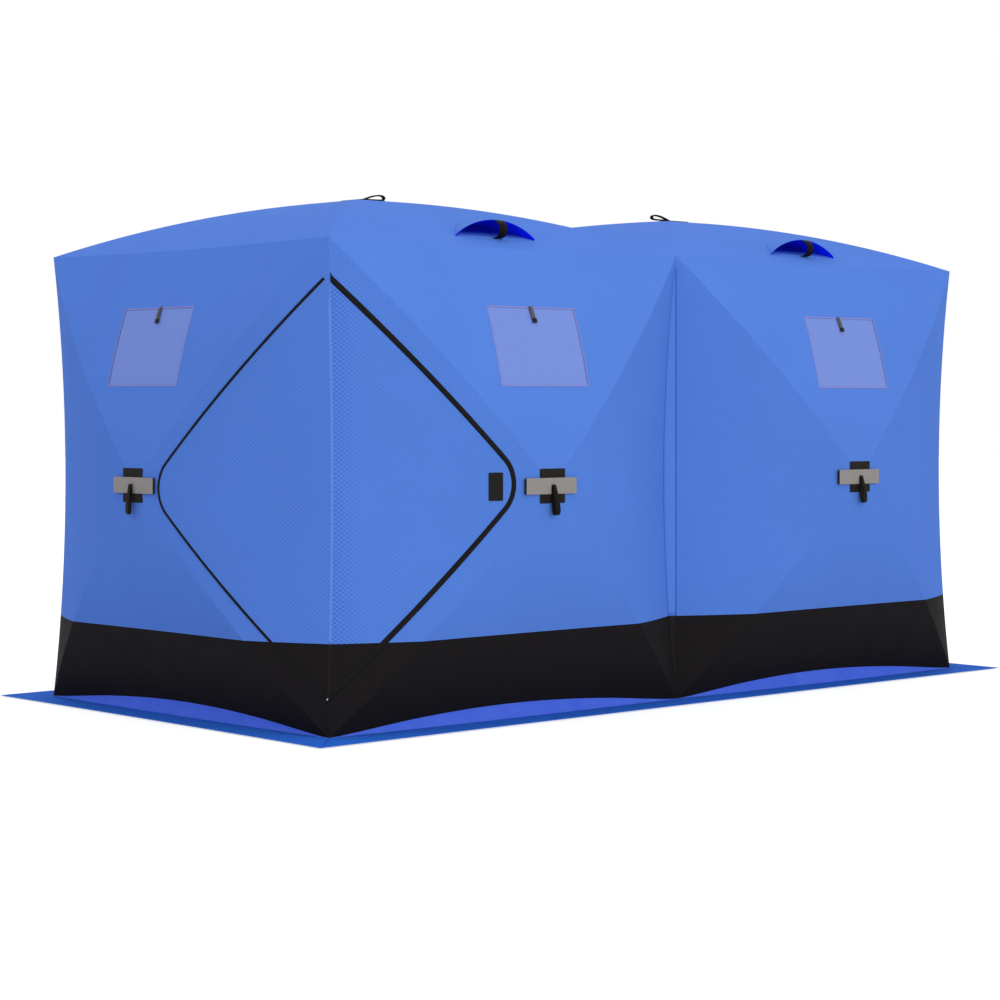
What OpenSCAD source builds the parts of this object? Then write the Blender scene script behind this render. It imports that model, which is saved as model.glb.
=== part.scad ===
// Two-bay pop-up ice fishing shelter: padded cloth panels held taut by sprung poles and hubs.
// The long front faces -Y, the left end faces -X, and the ground is z = 0. Millimetres.
// The back and the right end are the front and the left end turned half a turn about Z.

/* [Frame] */
// Length of one of the two bays
bay_len = 1800; // [1500:10:2400]
// Depth of the shelter from front to back
depth = 1800; // [1500:10:2400]
// Height of the eaves above the ground
wall_h = 1800; // [1500:10:2200]
// How far the wall hubs sit below the middle of the wall
hub_drop = 8; // [0:1:60]
// How far a wall hub stands out past the corners of its wall
wall_hub_out = 220; // [170:5:320]
// How far a roof hub stands above the eaves
roof_hub_out = 230; // [190:5:320]
// Extra outward arch of a sprung pole at its middle
pole_arch = 45; // [20:1:54]
// Diameter of a pole
pole_d = 11; // [8:0.5:14]
// Diameter of a hub
hub_d = 104; // [88:1:120]
// Thickness of a hub
hub_t = 14; // [10:1:20]

/* [Cloth] */
// Thickness of the padded wall cloth
cloth_t = 6; // [3:0.5:10]
// Inward bow of the corner edges at mid height, along each wall
corner_bow = 32; // [0:1:60]
// Inward bow of the seam between the bays at mid height
valley_bow = 70; // [0:1:110]
// Rise of the roof seam between the bays above the eaves
seam_rise = 130; // [80:5:185]
// Sag of the eave edges between their corners
eave_sag = 10; // [0:1:30]
// Rise of the hem in the middle of a bay
hem_rise = 57; // [20:1:90]
// Height of the black base band
band_h = 337; // [220:5:500]
// Side of the square that the cloth leaves open at a hub
hub_hole = 80; // [64:1:100]

/* [Windows] */
// Width of a window
window_w = 450; // [250:5:480]
// Height of a window
window_h = 297; // [150:1:320]
// Distance from the eaves down to the top of a window
window_drop = 234; // [200:1:280]
// How far the left bay's front window sits to the right of its hub
left_window_shift = 9; // [-40:1:40]
// How far the right bay's front window sits to the right of its hub
right_window_shift = 16; // [-40:1:40]
// How far an end window sits from its hub, away from the door
end_window_shift = 21; // [-40:1:40]
// Corner radius of a window
window_r = 14; // [4:1:40]
// Thickness of a clear pane
pane_t = 1.5; // [1:0.5:3]
// Width of the tie at the top of a window
tie_w = 22; // [12:1:40]
// Length of the tie at the top of a window
tie_l = 58; // [30:1:90]

/* [Door] */
// Distance from the eaves down to the top of the door flap
door_drop = 133; // [90:1:250]
// Height of the bottom of the door flap above the ground
door_sill = 140; // [80:1:200]
// Distance from the middle of the wall back to the sharp tip of the zipped side
zip_tip_gap = 130; // [110:1:260]
// Distance from the middle of the wall back to the sharp tip of the folded side
fold_tip_gap = 89; // [84:1:220]
// Radius that rounds the tips of the door
door_tip_r = 130; // [80:1:150]
// Width of the zip
zip_w = 22; // [16:1:40]
// Width of the piping on the folded side of the door
piping_w = 10; // [6:1:16]
// Width of the holding tab near the tip
tab_w = 61; // [40:1:80]
// Height of the holding tab
tab_h = 104; // [70:1:130]

/* [Hub trim] */
// Side of the square patch over a hub
patch_w = 130; // [115:1:160]
// Thickness of a patch, and of a strip
patch_t = 3; // [2:0.5:5]
// Length of the reflective strip
strip_l = 262; // [200:1:320]
// Height of the reflective strip
strip_h = 60; // [40:1:90]
// Width of a pull strap
strap_w = 26; // [16:1:40]
// Length of a pull strap below the middle of the hub
strap_l = 108; // [70:1:150]
// Width of the webbing of a roof loop
loop_w = 20; // [14:1:30]
// Length of a roof loop
loop_l = 112; // [80:1:140]
// Height of a roof loop above its patch
loop_h = 24; // [16:1:34]

/* [Roof vents] */
// Width of a vent hood
vent_w = 420; // [300:5:520]
// Rise of a vent hood above the roof
vent_rise = 72; // [40:1:90]
// Distance from the eave to the open front of a hood
vent_setback = 100; // [80:1:160]
// Depth of a hood from its open front to the back
vent_depth = 180; // [160:5:240]
// Thickness of the hood cloth, and of its prop
vent_t = 3; // [2:0.5:5]
// Width of the prop that holds a hood open
prop_w = 38; // [20:1:50]

/* [Skirt] */
// Width of the snow skirt on the ground
skirt_w = 160; // [100:5:260]
// Thickness of the skirt cloth
skirt_t = 3; // [2:0.5:4]

/* [Hidden] */

$fn = 48;
half_d = depth / 2;
half_bay = bay_len / 2;
hub_h = wall_h / 2 - hub_drop;
hub_t_end = 1 - hub_hole / bay_len;
steps = 8;              // steps of a panel along its edge and towards its hub
seat = 0.5;             // clearance between the curved cloth and what lies on it
band_seat = 0.8;        // clearance between the curved cloth and a long band on it
flat_seat = 0.3;        // clearance between flat pieces and the cloth round a hub
tie_seat = 0.1;         // clearance between a window tie and the arched cloth
pole_lift = 1.2;        // clearance that keeps a round pole out of the fold it lies in
pole_end_gap = 0.7;     // clearance between a slanted pole end and the rim of its hub
hub_cloth_gap = 2;      // clearance between a hub and the cloth over it
boss_d = 48;            // boss that joins a hub to its patch
pole_start = 30;        // distance from a corner to the foot of a pole
hood_fullness = 0.85;   // power that fills out the arch of a vent hood
hood_sag = 1.6;         // power that lays the back of a hood down onto the roof
hood_taper = 1.5;       // power that draws the back of a hood in towards its ends
zip_tip_rise = 11;      // height of the zipped side's tip above the wall hubs
fold_tip_rise = -2;     // height of the folded side's tip above the wall hubs
fold_sill_drop = 20;    // how much lower the folded side starts than the zipped side
cut_reach = 400;        // reach of a cutting prism past the wall
blue = [0.34, 0.50, 0.85];
black = [0.10, 0.09, 0.10];
skirt_blue = [0.18, 0.30, 0.75];
clear_violet = [0.45, 0.55, 0.82, 0.7];
grey = [0.57, 0.56, 0.56];

// ---- Faces: [corners, insets to the inner cloth surface, hub, outward direction, edge bows].
// Corners run anticlockwise seen from outside, and panel k lies between corner k and corner k + 1.

// Inset along X of an upright edge: none on the seam between the bays.
function inset_x(x) = -sign(x) * cloth_t;

// Bow of an upright edge of a long wall at its middle.
function upright_bow(x) = x == 0 ? [0, valley_bow, 0] : [-sign(x) * corner_bow, corner_bow, 0];

function front_face(x0, x1) = [
    [[x0, -half_d, 0], [x1, -half_d, 0], [x1, -half_d, wall_h], [x0, -half_d, wall_h]],
    [[inset_x(x0), cloth_t, 0], [inset_x(x1), cloth_t, 0],
     [inset_x(x1), cloth_t, -cloth_t], [inset_x(x0), cloth_t, -cloth_t]],
    [(x0 + x1) / 2, -half_d - wall_hub_out, hub_h],
    [0, -1, 0],
    [[0, 0, hem_rise], upright_bow(x1), [0, 0, -eave_sag], upright_bow(x0)]
];

function end_face() = [
    [[-bay_len, half_d, 0], [-bay_len, -half_d, 0],
     [-bay_len, -half_d, wall_h], [-bay_len, half_d, wall_h]],
    [[cloth_t, -cloth_t, 0], [cloth_t, cloth_t, 0],
     [cloth_t, cloth_t, -cloth_t], [cloth_t, -cloth_t, -cloth_t]],
    [-bay_len - wall_hub_out, 0, hub_h],
    [-1, 0, 0],
    [[0, 0, hem_rise], [corner_bow, corner_bow, 0],
     [0, 0, -eave_sag], [corner_bow, -corner_bow, 0]]
];

// Bow of a roof edge that runs from front to back.
function cross_bow(x) = x == 0 ? [0, 0, seam_rise] : [0, 0, -eave_sag];

function roof_face(x0, x1) = [
    [[x0, -half_d, wall_h], [x1, -half_d, wall_h], [x1, half_d, wall_h], [x0, half_d, wall_h]],
    [[inset_x(x0), cloth_t, -cloth_t], [inset_x(x1), cloth_t, -cloth_t],
     [inset_x(x1), -cloth_t, -cloth_t], [inset_x(x0), -cloth_t, -cloth_t]],
    [(x0 + x1) / 2, 0, wall_h + roof_hub_out],
    [0, 0, 1],
    [[0, 0, -eave_sag], cross_bow(x1), [0, 0, -eave_sag], cross_bow(x0)]
];

front_left = front_face(-bay_len, 0);
front_right = front_face(0, bay_len);
left_end = end_face();
roof_left = roof_face(-bay_len, 0);
roof_right = roof_face(0, bay_len);

// ---- Cloth surfaces. The layer runs from 0 on the outside to 1 on the inside.

// Point on the fold along a pole, from corner k at t = 0 to the hub at t = 1.
function fold_point(face, k, t, layer) =
    (1 - t) * (face[0][k % 4] + layer * face[1][k % 4])
    + t * (face[2] - layer * cloth_t * face[3])
    + 4 * t * (1 - t) * pole_arch * face[3];

// Point of panel k, with s along its edge and t towards the hub. The bow fades towards the hub.
function panel_point(face, k, s, t, layer) =
    (1 - s) * fold_point(face, k, t, layer) + s * fold_point(face, k + 1, t, layer)
    + 4 * s * (1 - s) * pow(1 - t, 2) * face[4][k];

// One cloth panel between two layers. Shared folds and edges are split along the same diagonals.
module panel(face, k, layer0 = 0, layer1 = 1) {
    n = steps;
    m = n + 1;
    points = [for (layer = [layer0, layer1], j = [0:n], i = [0:n])
        panel_point(face, k, i / n, hub_t_end * j / n, layer)];
    function at(i, j, inner) = inner * m * m + j * m + i;
    outside = [for (j = [0:n - 1], i = [0:n - 1])
        each let (a = at(i, j, 0), b = at(i + 1, j, 0), c = at(i + 1, j + 1, 0), d = at(i, j + 1, 0))
        i < n / 2 ? [[a, d, c], [a, c, b]] : [[a, d, b], [b, d, c]]];
    inside = [for (j = [0:n - 1], i = [0:n - 1])
        each let (a = at(i, j, 1), b = at(i + 1, j, 1), c = at(i + 1, j + 1, 1), d = at(i, j + 1, 1))
        i < n / 2 ? [[a, c, d], [a, b, c]] : [[a, b, d], [b, c, d]]];
    edge = [for (i = [0:n - 1])
        each let (a = at(i, 0, 0), b = at(i + 1, 0, 0), p = at(i, 0, 1), q = at(i + 1, 0, 1))
        i < n / 2 ? [[a, b, q], [a, q, p]] : [[a, b, p], [b, q, p]]];
    rim = [for (i = [0:n - 1])
        each let (c = at(i + 1, n, 0), d = at(i, n, 0), r = at(i + 1, n, 1), u = at(i, n, 1))
        [[c, d, u], [c, u, r]]];
    first_fold = [for (j = [0:n - 1])
        each let (a = at(0, j, 0), d = at(0, j + 1, 0), p = at(0, j, 1), u = at(0, j + 1, 1))
        [[d, a, u], [a, p, u]]];
    last_fold = [for (j = [0:n - 1])
        each let (b = at(n, j, 0), c = at(n, j + 1, 0), q = at(n, j, 1), r = at(n, j + 1, 1))
        [[b, c, r], [b, r, q]]];
    polyhedron(points, concat(outside, inside, edge, rim, first_fold, last_fold));
}

// Everything below, or above, the top of the base band.
module below_band() {
    big = 2 * bay_len + depth;
    translate([-big, -big, band_h - big]) cube([2 * big, 2 * big, big]);
}

// ---- Windows, one in the middle of each top panel.

// Turn from the front of the wall to the left end.
module at_left_end() { translate([-bay_len, 0, 0]) rotate([0, 0, -90]) translate([0, half_d, 0]) children(); }

// Prism through the front of the wall at x, as large as a window.
module window_prism(x) {
    top = wall_h - window_drop;
    translate([x, -half_d + cut_reach / 2, 0]) rotate([90, 0, 0])
        linear_extrude(height = cut_reach + wall_hub_out)
        hull() for (i = [-1, 1], z = [top - window_h + window_r, top - window_r])
            translate([i * (window_w / 2 - window_r), z]) circle(window_r, $fn = 24);
}

module window_pane(face) {
    mid = pane_t / cloth_t / 2;
    panel(face, 2, 0.5 - mid, 0.5 + mid);
}

// Tie that hangs from the top edge of a window, over the pane, half as far aside as the window.
module window_tie(face, window_shift) {
    t0 = (window_drop - eave_sag) / (wall_h - hub_h);
    t1 = t0 + tie_l / (wall_h - hub_h);
    n = 4;
    line = [for (i = [0:n]) panel_point(face, 2, 0.5, t0 + (t1 - t0) * i / n, 0)];
    profile = concat([for (p = line) [-p[1] + tie_seat, p[2]]],
        [for (i = [n:-1:0]) [-line[i][1] + tie_seat + patch_t, line[i][2]]]);
    translate([line[0][0] - tie_w / 2 + window_shift / 2, 0, 0]) rotate([90, 0, -90]) mirror([0, 0, 1])
        linear_extrude(height = tie_w) polygon(profile);
}

// ---- Door flap, wrapped round the front left corner. It is drawn from that corner, with the
// distance along the wall on +X and outwards on -Y, and mirrored for the left end.

module on_front() { translate([-bay_len, -half_d, 0]) children(); }
module on_end() { translate([-bay_len, -half_d, 0]) mirror([1, -1, 0]) children(); }

// The two sides of the flap: [distance to the middle of the wall, sharp tip, height of the sill].
zip_side = [half_bay, [half_bay - zip_tip_gap, hub_h + zip_tip_rise], door_sill];
fold_side = [half_d, [half_d - fold_tip_gap, hub_h + fold_tip_rise], door_sill - fold_sill_drop];

// Outline of one side of the flap: upper edge, rounded tip, lower edge.
// Each row is [distance from the corner, height, outward normal].
function door_line(side, start) =
    let (tip = side[1],
         side_steps = 12,
         tip_steps = 8,
         up = [-tip[0], wall_h - door_drop - tip[1]],
         down = [-tip[0], side[2] - tip[1]],
         up_n = [up[1], -up[0]] / norm(up),
         down_n = [-down[1], down[0]] / norm(down),
         up_angle = atan2(up_n[1], up_n[0]),
         down_angle = atan2(down_n[1], down_n[0]),
         reach = door_tip_r / cos((up_angle - down_angle) / 2),
         middle = (up_angle + down_angle) / 2,
         centre = tip - reach * [cos(middle), sin(middle)],
         up_end = centre + door_tip_r * up_n,
         down_end = centre + door_tip_r * down_n,
         up_start = tip + up * (1 - start / tip[0]),
         down_start = tip + down * (1 - start / tip[0]))
    concat(
        [for (i = [0:side_steps - 1]) let (p = up_start + (up_end - up_start) * i / side_steps)
            [p[0], p[1], up_n]],
        [for (i = [0:tip_steps]) let (a = up_angle + (down_angle - up_angle) * i / tip_steps,
            p = centre + door_tip_r * [cos(a), sin(a)]) [p[0], p[1], [cos(a), sin(a)]]],
        [for (i = [1:side_steps]) let (p = down_end + (down_start - down_end) * i / side_steps)
            [p[0], p[1], down_n]]
    );

// Prism through the wall beside the corner, with the outline of the door.
module door_prism(side) {
    translate([0, cut_reach / 2, 0]) rotate([90, 0, 0])
        linear_extrude(height = cut_reach + wall_hub_out)
        polygon([for (p = door_line(side, -cut_reach / 4)) [p[0], p[1]]]);
}

// How far the side panel stands out at a distance from the corner and a height.
function side_t(a, z, span, rounds) =
    rounds == 0 ? a / span
    : let (t = side_t(a, z, span, rounds - 1), s = (z - t * hub_h) / (wall_h * (1 - t)))
      (a - 4 * s * (1 - s) * pow(1 - t, 2) * corner_bow) / span;
function side_out(a, z, span) =
    let (t = side_t(a, z, span, 5), s = (z - t * hub_h) / (wall_h * (1 - t)))
    wall_hub_out * t + 4 * t * (1 - t) * pole_arch - 4 * s * (1 - s) * pow(1 - t, 2) * corner_bow;

// Flat band of cloth that follows the door's outline on the wall's surface.
module door_band(side, width, thick, start) {
    line = door_line(side, start);
    points = [for (p = line)
        each let (x0 = p[0] - p[2][0] * width / 2, z0 = p[1] - p[2][1] * width / 2,
                  x1 = p[0] + p[2][0] * width / 2, z1 = p[1] + p[2][1] * width / 2,
                  y0 = side_out(x0, z0, side[0]) + band_seat,
                  y1 = side_out(x1, z1, side[0]) + band_seat)
        [[x0, -y0, z0], [x1, -y1, z1], [x1, -y1 - thick, z1], [x0, -y0 - thick, z0]]];
    last = len(line) - 1;
    sides = [for (i = [0:last - 1], k = [0:3])
        each let (a = 4 * i + k, b = 4 * i + (k + 1) % 4, c = b + 4, d = a + 4)
        [[a, b, c], [a, c, d]]];
    polyhedron(points, concat(sides, [[0, 3, 2], [0, 2, 1]],
        [[4 * last, 4 * last + 1, 4 * last + 2], [4 * last, 4 * last + 2, 4 * last + 3]]));
}

// ---- Hub trim, drawn at the hub with +Z outwards and +Y up the wall.

module at_front_hub(x) { translate([x, -half_d, hub_h]) rotate([90, 0, 0]) children(); }
module at_left_hub() { translate([-bay_len, 0, hub_h]) rotate([0, 0, -90]) rotate([90, 0, 0]) children(); }
module at_roof_hub(x) { translate([x, 0, wall_h]) children(); }
module half_turn() { rotate([0, 0, 180]) children(); }
module both_turns() { children(); half_turn() children(); }

module at_wall_hubs() {
    both_turns() {
        at_front_hub(-half_bay) children();
        at_front_hub(half_bay) children();
        at_left_hub() children();
    }
}

// Height of the outer cloth surface at the edge of the hub hole, over the wall's corners.
function hole_out(hub_out) = hub_t_end * hub_out + 4 * hub_t_end * (1 - hub_t_end) * pole_arch;
wall_base = hole_out(wall_hub_out) + flat_seat;
roof_base = hole_out(roof_hub_out) + max(flat_seat, seam_rise * pow(1 - hub_t_end, 2) + 0.05);

module slab(w, h, t) { translate([-w / 2, -h / 2, 0]) cube([w, h, t]); }

// Hub body behind the cloth, with the boss that reaches its patch.
module hub_body(base) {
    top = base - flat_seat - cloth_t - hub_cloth_gap;
    translate([0, 0, top - hub_t]) cylinder(d = hub_d, h = hub_t);
    translate([0, 0, top - hub_t / 2]) cylinder(d = boss_d, h = base - top + hub_t / 2);
}

// Strap that hangs from the hub over the strip and stands off a little at its end.
module pull_strap() {
    base = wall_base + 2 * patch_t;
    head = 14;
    lean = 12;
    translate([-strap_w / 2, 0, 0]) rotate([0, 90, 0]) rotate([0, 0, 90])
        linear_extrude(height = strap_w)
        polygon([[head, base], [0, base], [-strap_l, base + lean], [-strap_l, base + lean + patch_t],
                 [0, base + patch_t + 1], [head, base + patch_t]]);
}

// Loop of webbing that leans over from a roof hub.
module roof_loop() {
    base = roof_base + patch_t;
    web = 5;
    translate([0, loop_w / 2, base]) rotate([90, 0, 0]) linear_extrude(height = loop_w)
        difference() {
            loop_outline(0);
            loop_outline(web);
        }
}

// Teardrop outline of the loop, drawn in from its edge.
module loop_outline(inset) {
    r = loop_h / 2;
    tail = 5 - inset;
    hull() {
        translate([loop_l - r, r]) circle(r - inset, $fn = 32);
        translate([inset, inset]) square([3, max(tail - inset, 0.8)]);
    }
}

// ---- Poles, from each hub to the four corners of its face, under the folds of the cloth.

// Tube swept along a line of points that bends little, with a ring of flat sides at each point.
module tube(line, d, side_dir) {
    n = 8;
    last = len(line) - 1;
    rings = [for (i = [0:last])
        each let (dir = line[min(i + 1, last)] - line[max(i - 1, 0)], f = dir / norm(dir),
                  u = cross(f, side_dir) / norm(cross(f, side_dir)), v = cross(f, u))
        [for (k = [0:n - 1]) line[i] + d / 2 * (cos(360 * k / n) * u + sin(360 * k / n) * v)]];
    sides = [for (i = [0:last - 1], k = [0:n - 1])
        each let (a = n * i + k, b = n * i + (k + 1) % n, c = b + n, e = a + n)
        [[a, c, b], [a, e, c]]];
    polyhedron(rings, concat(sides, [[for (k = [0:n - 1]) k]],
        [[for (k = [n - 1:-1:0]) n * last + k]]));
}

module poles(face) {
    reach = norm(cross(face[0][0] - face[2], face[3]));
    t0 = pole_start / reach;
    t1 = 1 - (hub_d / 2 + pole_end_gap) / reach;
    n = 10;
    for (k = [0:3])
        tube([for (i = [0:n]) let (t = t0 + (t1 - t0) * i / n)
            fold_point(face, k, t, 1) - (pole_d / 2 + pole_lift) * face[3]], pole_d, face[3]);
}

// ---- Roof vents, one on each long slope of each bay.

// Height of the roof's front slope over a point of the left bay.
function roof_z(x, y) =
    let (t = (y + half_d) / half_d, xc = -half_bay,
         s = ((x - xc * t) / (1 - t) + bay_len) / bay_len)
    wall_h + roof_hub_out * t + 4 * t * (1 - t) * pole_arch
    - 4 * s * (1 - s) * pow(1 - t, 2) * eave_sag;

vent_y = -half_d + vent_setback;

// Opening in the roof under a hood.
module vent_prism() {
    lip = 50;               // cloth left before and behind the opening, under the hood
    side_lip = 90;          // cloth left at each end of the opening
    translate([-half_bay, vent_y + lip, wall_h - cut_reach / 2])
        linear_extrude(height = cut_reach + roof_hub_out)
        intersection() {
            resize([vent_w - 2 * side_lip, 2 * (vent_depth - 2 * lip)]) circle(d = 100, $fn = 40);
            translate([-vent_w, 0]) square([2 * vent_w, vent_w]);
        }
}

// Point of a hood, with u from one end of the arched rim to the other and v from rim to back.
function hood_point(u, v, lift) =
    let (bell = 4 * u * (1 - u),
         arc = pow(bell, hood_fullness),
         x = -half_bay + vent_w * (u - 0.5),
         y = vent_y + v * vent_depth * pow(bell, hood_taper))
    [x, y, roof_z(x, y) + seat + vent_rise * arc * pow(1 - v, hood_sag) + lift];

module vent_hood() {
    n = 14;
    rows = 4;
    u0 = 0.02;
    m = n + 1;
    points = [for (lift = [vent_t, 0], j = [0:rows], i = [0:n])
        hood_point(u0 + (1 - 2 * u0) * i / n, j / rows, lift)];
    function at(i, j, inner) = inner * m * (rows + 1) + j * m + i;
    top = [for (j = [0:rows - 1], i = [0:n - 1])
        each let (a = at(i, j, 0), b = at(i + 1, j, 0), c = at(i + 1, j + 1, 0), d = at(i, j + 1, 0))
        [[a, d, c], [a, c, b]]];
    under = [for (j = [0:rows - 1], i = [0:n - 1])
        each let (a = at(i, j, 1), b = at(i + 1, j, 1), c = at(i + 1, j + 1, 1), d = at(i, j + 1, 1))
        [[a, c, d], [a, b, c]]];
    rims = [for (i = [0:n - 1])
        each let (a = at(i, 0, 0), b = at(i + 1, 0, 0), p = at(i, 0, 1), q = at(i + 1, 0, 1),
                  c = at(i + 1, rows, 0), d = at(i, rows, 0), r = at(i + 1, rows, 1), e = at(i, rows, 1))
        [[a, b, q], [a, q, p], [c, d, e], [c, e, r]]];
    ends = [for (j = [0:rows - 1])
        each let (a = at(0, j, 0), d = at(0, j + 1, 0), p = at(0, j, 1), e = at(0, j + 1, 1),
                  b = at(n, j, 0), c = at(n, j + 1, 0), q = at(n, j, 1), r = at(n, j + 1, 1))
        [[d, a, p], [d, p, e], [b, c, r], [b, r, q]]];
    polyhedron(points, concat(top, under, rims, ends));
}

// Bowed prop between the roof and the middle of the hood's rim.
module vent_prop() {
    low = roof_z(-half_bay, vent_y) + band_seat;
    drop = vent_t * hood_sag * vent_rise / vent_depth;  // fall of the hood over the prop's thickness
    high = low + vent_rise - band_seat - drop;
    bow = 46;
    n = 16;
    function bowed(a, inset) = [
        vent_y + vent_t - (bow - inset) * sin(a),
        (low + high) / 2 + ((high - low) / 2 - inset) * cos(a)];
    translate([-half_bay - prop_w / 2, 0, 0]) rotate([90, 0, 90]) linear_extrude(height = prop_w)
        polygon(concat([for (i = [0:n]) bowed(180 * i / n, 0)],
            [for (i = [n:-1:0]) bowed(180 * i / n, vent_t)]));
}

module each_vent() {
    both_turns() {
        children();
        translate([bay_len, 0, 0]) children();
    }
}

// ---- Snow skirt: a flat strip on the ground, and a strip that rises to the arched hem.

// Skirt along a front of some bays, centred on X, with its inner edge on y = -offset.
module skirt(bays, length, offset) {
    n = steps * bays;
    crease = 14;
    corner_gap = 4;
    points = [for (i = [0:n])
        each let (u = i / n, f = u * bays - min(floor(u * bays), bays - 1),
                  rise = hem_rise * 4 * f * (1 - f), under = min(rise / 10, 1),
                  top = max(rise - flat_seat, skirt_t + 0.2),
                  inner = corner_gap * (1 - under) - skirt_t * under,
                  fold = inner + skirt_t + crease * 4 * f * (1 - f))
        [for (p = [[skirt_w, 0], [skirt_w, skirt_t], [fold, skirt_t], [inner + skirt_t, top],
                   [inner, top], [fold - skirt_t, 0]])
            [(2 * u - 1) * (length / 2 + p[0]), -offset - p[0], p[1]]]];
    sides = [for (i = [0:n - 1], k = [0:5])
        each let (a = 6 * i + k, b = 6 * i + (k + 1) % 6, c = b + 6, d = a + 6)
        [[a, b, c], [a, c, d]]];
    near = [[0, 2, 1], [0, 5, 2], [5, 3, 2], [5, 4, 3]];
    far = [for (f = near) [6 * n + f[0], 6 * n + f[2], 6 * n + f[1]]];
    polyhedron(points, concat(sides, near, far));
}

// ---- Walls.

module centre_panels(face, x) {
    color(blue) {
        difference() {
            panel(face, 2);
            window_prism(x);
        }
        difference() {
            panel(face, 0);
            below_band();
        }
    }
}

// Side panels above the band, or their lower tips with the bottom panel as the band.
module plain_sides(face) {
    color(blue) for (k = [1, 3]) difference() { panel(face, k); below_band(); }
}
module plain_band(face) {
    color(black) intersection() {
        union() { panel(face, 0); panel(face, 1); panel(face, 3); }
        below_band();
    }
}

module front_left_centre_panels() { centre_panels(front_left, -half_bay + left_window_shift); }
module front_right_centre_panels() { centre_panels(front_right, half_bay + right_window_shift); }
module left_end_centre_panels() {
    color(blue) {
        difference() {
            panel(left_end, 2);
            at_left_end() window_prism(-end_window_shift);
        }
        difference() {
            panel(left_end, 0);
            below_band();
        }
    }
}

module front_left_side_panels() {
    color(blue) {
        difference() { panel(front_left, 1); below_band(); }
        difference() { panel(front_left, 3); below_band(); on_front() door_prism(zip_side); }
    }
}
module front_right_side_panels() { plain_sides(front_right); }
module left_end_side_panels() {
    color(blue) {
        difference() { panel(left_end, 3); below_band(); }
        difference() { panel(left_end, 1); below_band(); on_end() door_prism(fold_side); }
    }
}

module front_left_base_band() {
    color(black) difference() { plain_band(front_left); on_front() door_prism(zip_side); }
}
module front_right_base_band() { plain_band(front_right); }
module left_end_base_band() {
    color(black) difference() { plain_band(left_end); on_end() door_prism(fold_side); }
}

module back_left_centre_panels() { half_turn() front_right_centre_panels(); }
module back_left_side_panels() { half_turn() front_right_side_panels(); }
module back_left_base_band() { half_turn() front_right_base_band(); }
module back_right_centre_panels() { half_turn() front_left_centre_panels(); }
module back_right_side_panels() { half_turn() front_left_side_panels(); }
module back_right_base_band() { half_turn() front_left_base_band(); }
module right_end_centre_panels() { half_turn() left_end_centre_panels(); }
module right_end_side_panels() { half_turn() left_end_side_panels(); }
module right_end_base_band() { half_turn() left_end_base_band(); }

// ---- Roof.

module roof_left_vent_slopes() {
    color(blue) {
        difference() { panel(roof_left, 0); vent_prism(); }
        difference() { panel(roof_left, 2); half_turn() translate([bay_len, 0, 0]) vent_prism(); }
    }
}
module roof_left_cross_slopes() { color(blue) { panel(roof_left, 1); panel(roof_left, 3); } }
module roof_right_vent_slopes() { half_turn() roof_left_vent_slopes(); }
module roof_right_cross_slopes() { half_turn() roof_left_cross_slopes(); }
module vent_hoods() { color(blue) each_vent() vent_hood(); }
module vent_props() { color(black) each_vent() vent_prop(); }

// ---- Windows.

module front_windows() {
    color(clear_violet) {
        intersection() { window_pane(front_left); window_prism(-half_bay + left_window_shift); }
        intersection() { window_pane(front_right); window_prism(half_bay + right_window_shift); }
    }
}
module back_windows() { half_turn() front_windows(); }
module end_windows() {
    color(clear_violet) both_turns() intersection() {
        window_pane(left_end);
        at_left_end() window_prism(-end_window_shift);
    }
}
module window_ties() {
    color(black) both_turns() {
        window_tie(front_left, left_window_shift);
        window_tie(front_right, right_window_shift);
        at_left_end() translate([half_bay, 0, 0]) window_tie(front_left, -end_window_shift);
    }
}

// ---- Doors.

module front_door() {
    color(blue) difference() {
        union() {
            intersection() { panel(front_left, 3); on_front() door_prism(zip_side); }
            intersection() { panel(left_end, 1); on_end() door_prism(fold_side); }
        }
        below_band();
    }
}
module back_door() { half_turn() front_door(); }
module door_lower_tips() {
    color(black) both_turns() intersection() {
        union() {
            intersection() { panel(front_left, 3); on_front() door_prism(zip_side); }
            intersection() { panel(left_end, 1); on_end() door_prism(fold_side); }
        }
        below_band();
    }
}
module door_zips() { color(black) both_turns() on_front() door_band(zip_side, zip_w, 4, 26); }
module door_pipings() { color(black) both_turns() on_end() door_band(fold_side, piping_w, 4, 26); }
module door_tabs() {
    inset = 80;             // from the rounded tip of the zipped side to the middle of the tab
    a = max([for (p = door_line(zip_side, 0)) p[0]]) - inset;
    z = hub_h + 2;
    color(black) both_turns() on_front()
        translate([a, -side_out(a + tab_w / 2, z, half_bay) - flat_seat, z]) rotate([90, 0, 0])
        slab(tab_w, tab_h, patch_t);
}
module zip_pulls() {
    a = 14;
    w = 8;
    h = 14;
    out = side_out(a + w / 2, door_sill - h / 2, half_d) + flat_seat;
    color(grey) both_turns() on_end()
        translate([a, -out, door_sill]) rotate([90, 0, 0]) slab(w, h, 3);
}

// ---- Hub trim.

module hub_patches() {
    color(black) {
        at_wall_hubs() translate([0, 0, wall_base]) slab(patch_w, patch_w, patch_t);
        both_turns() at_roof_hub(-half_bay) translate([0, 0, roof_base]) slab(patch_w, patch_w, patch_t);
    }
}
module reflective_strips() {
    color(grey) at_wall_hubs() translate([0, 0, wall_base + patch_t]) slab(strip_l, strip_h, patch_t);
}
module pull_straps() { color(black) at_wall_hubs() pull_strap(); }
module roof_loops() { color(black) both_turns() at_roof_hub(-half_bay) roof_loop(); }

// ---- Frame.

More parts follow.
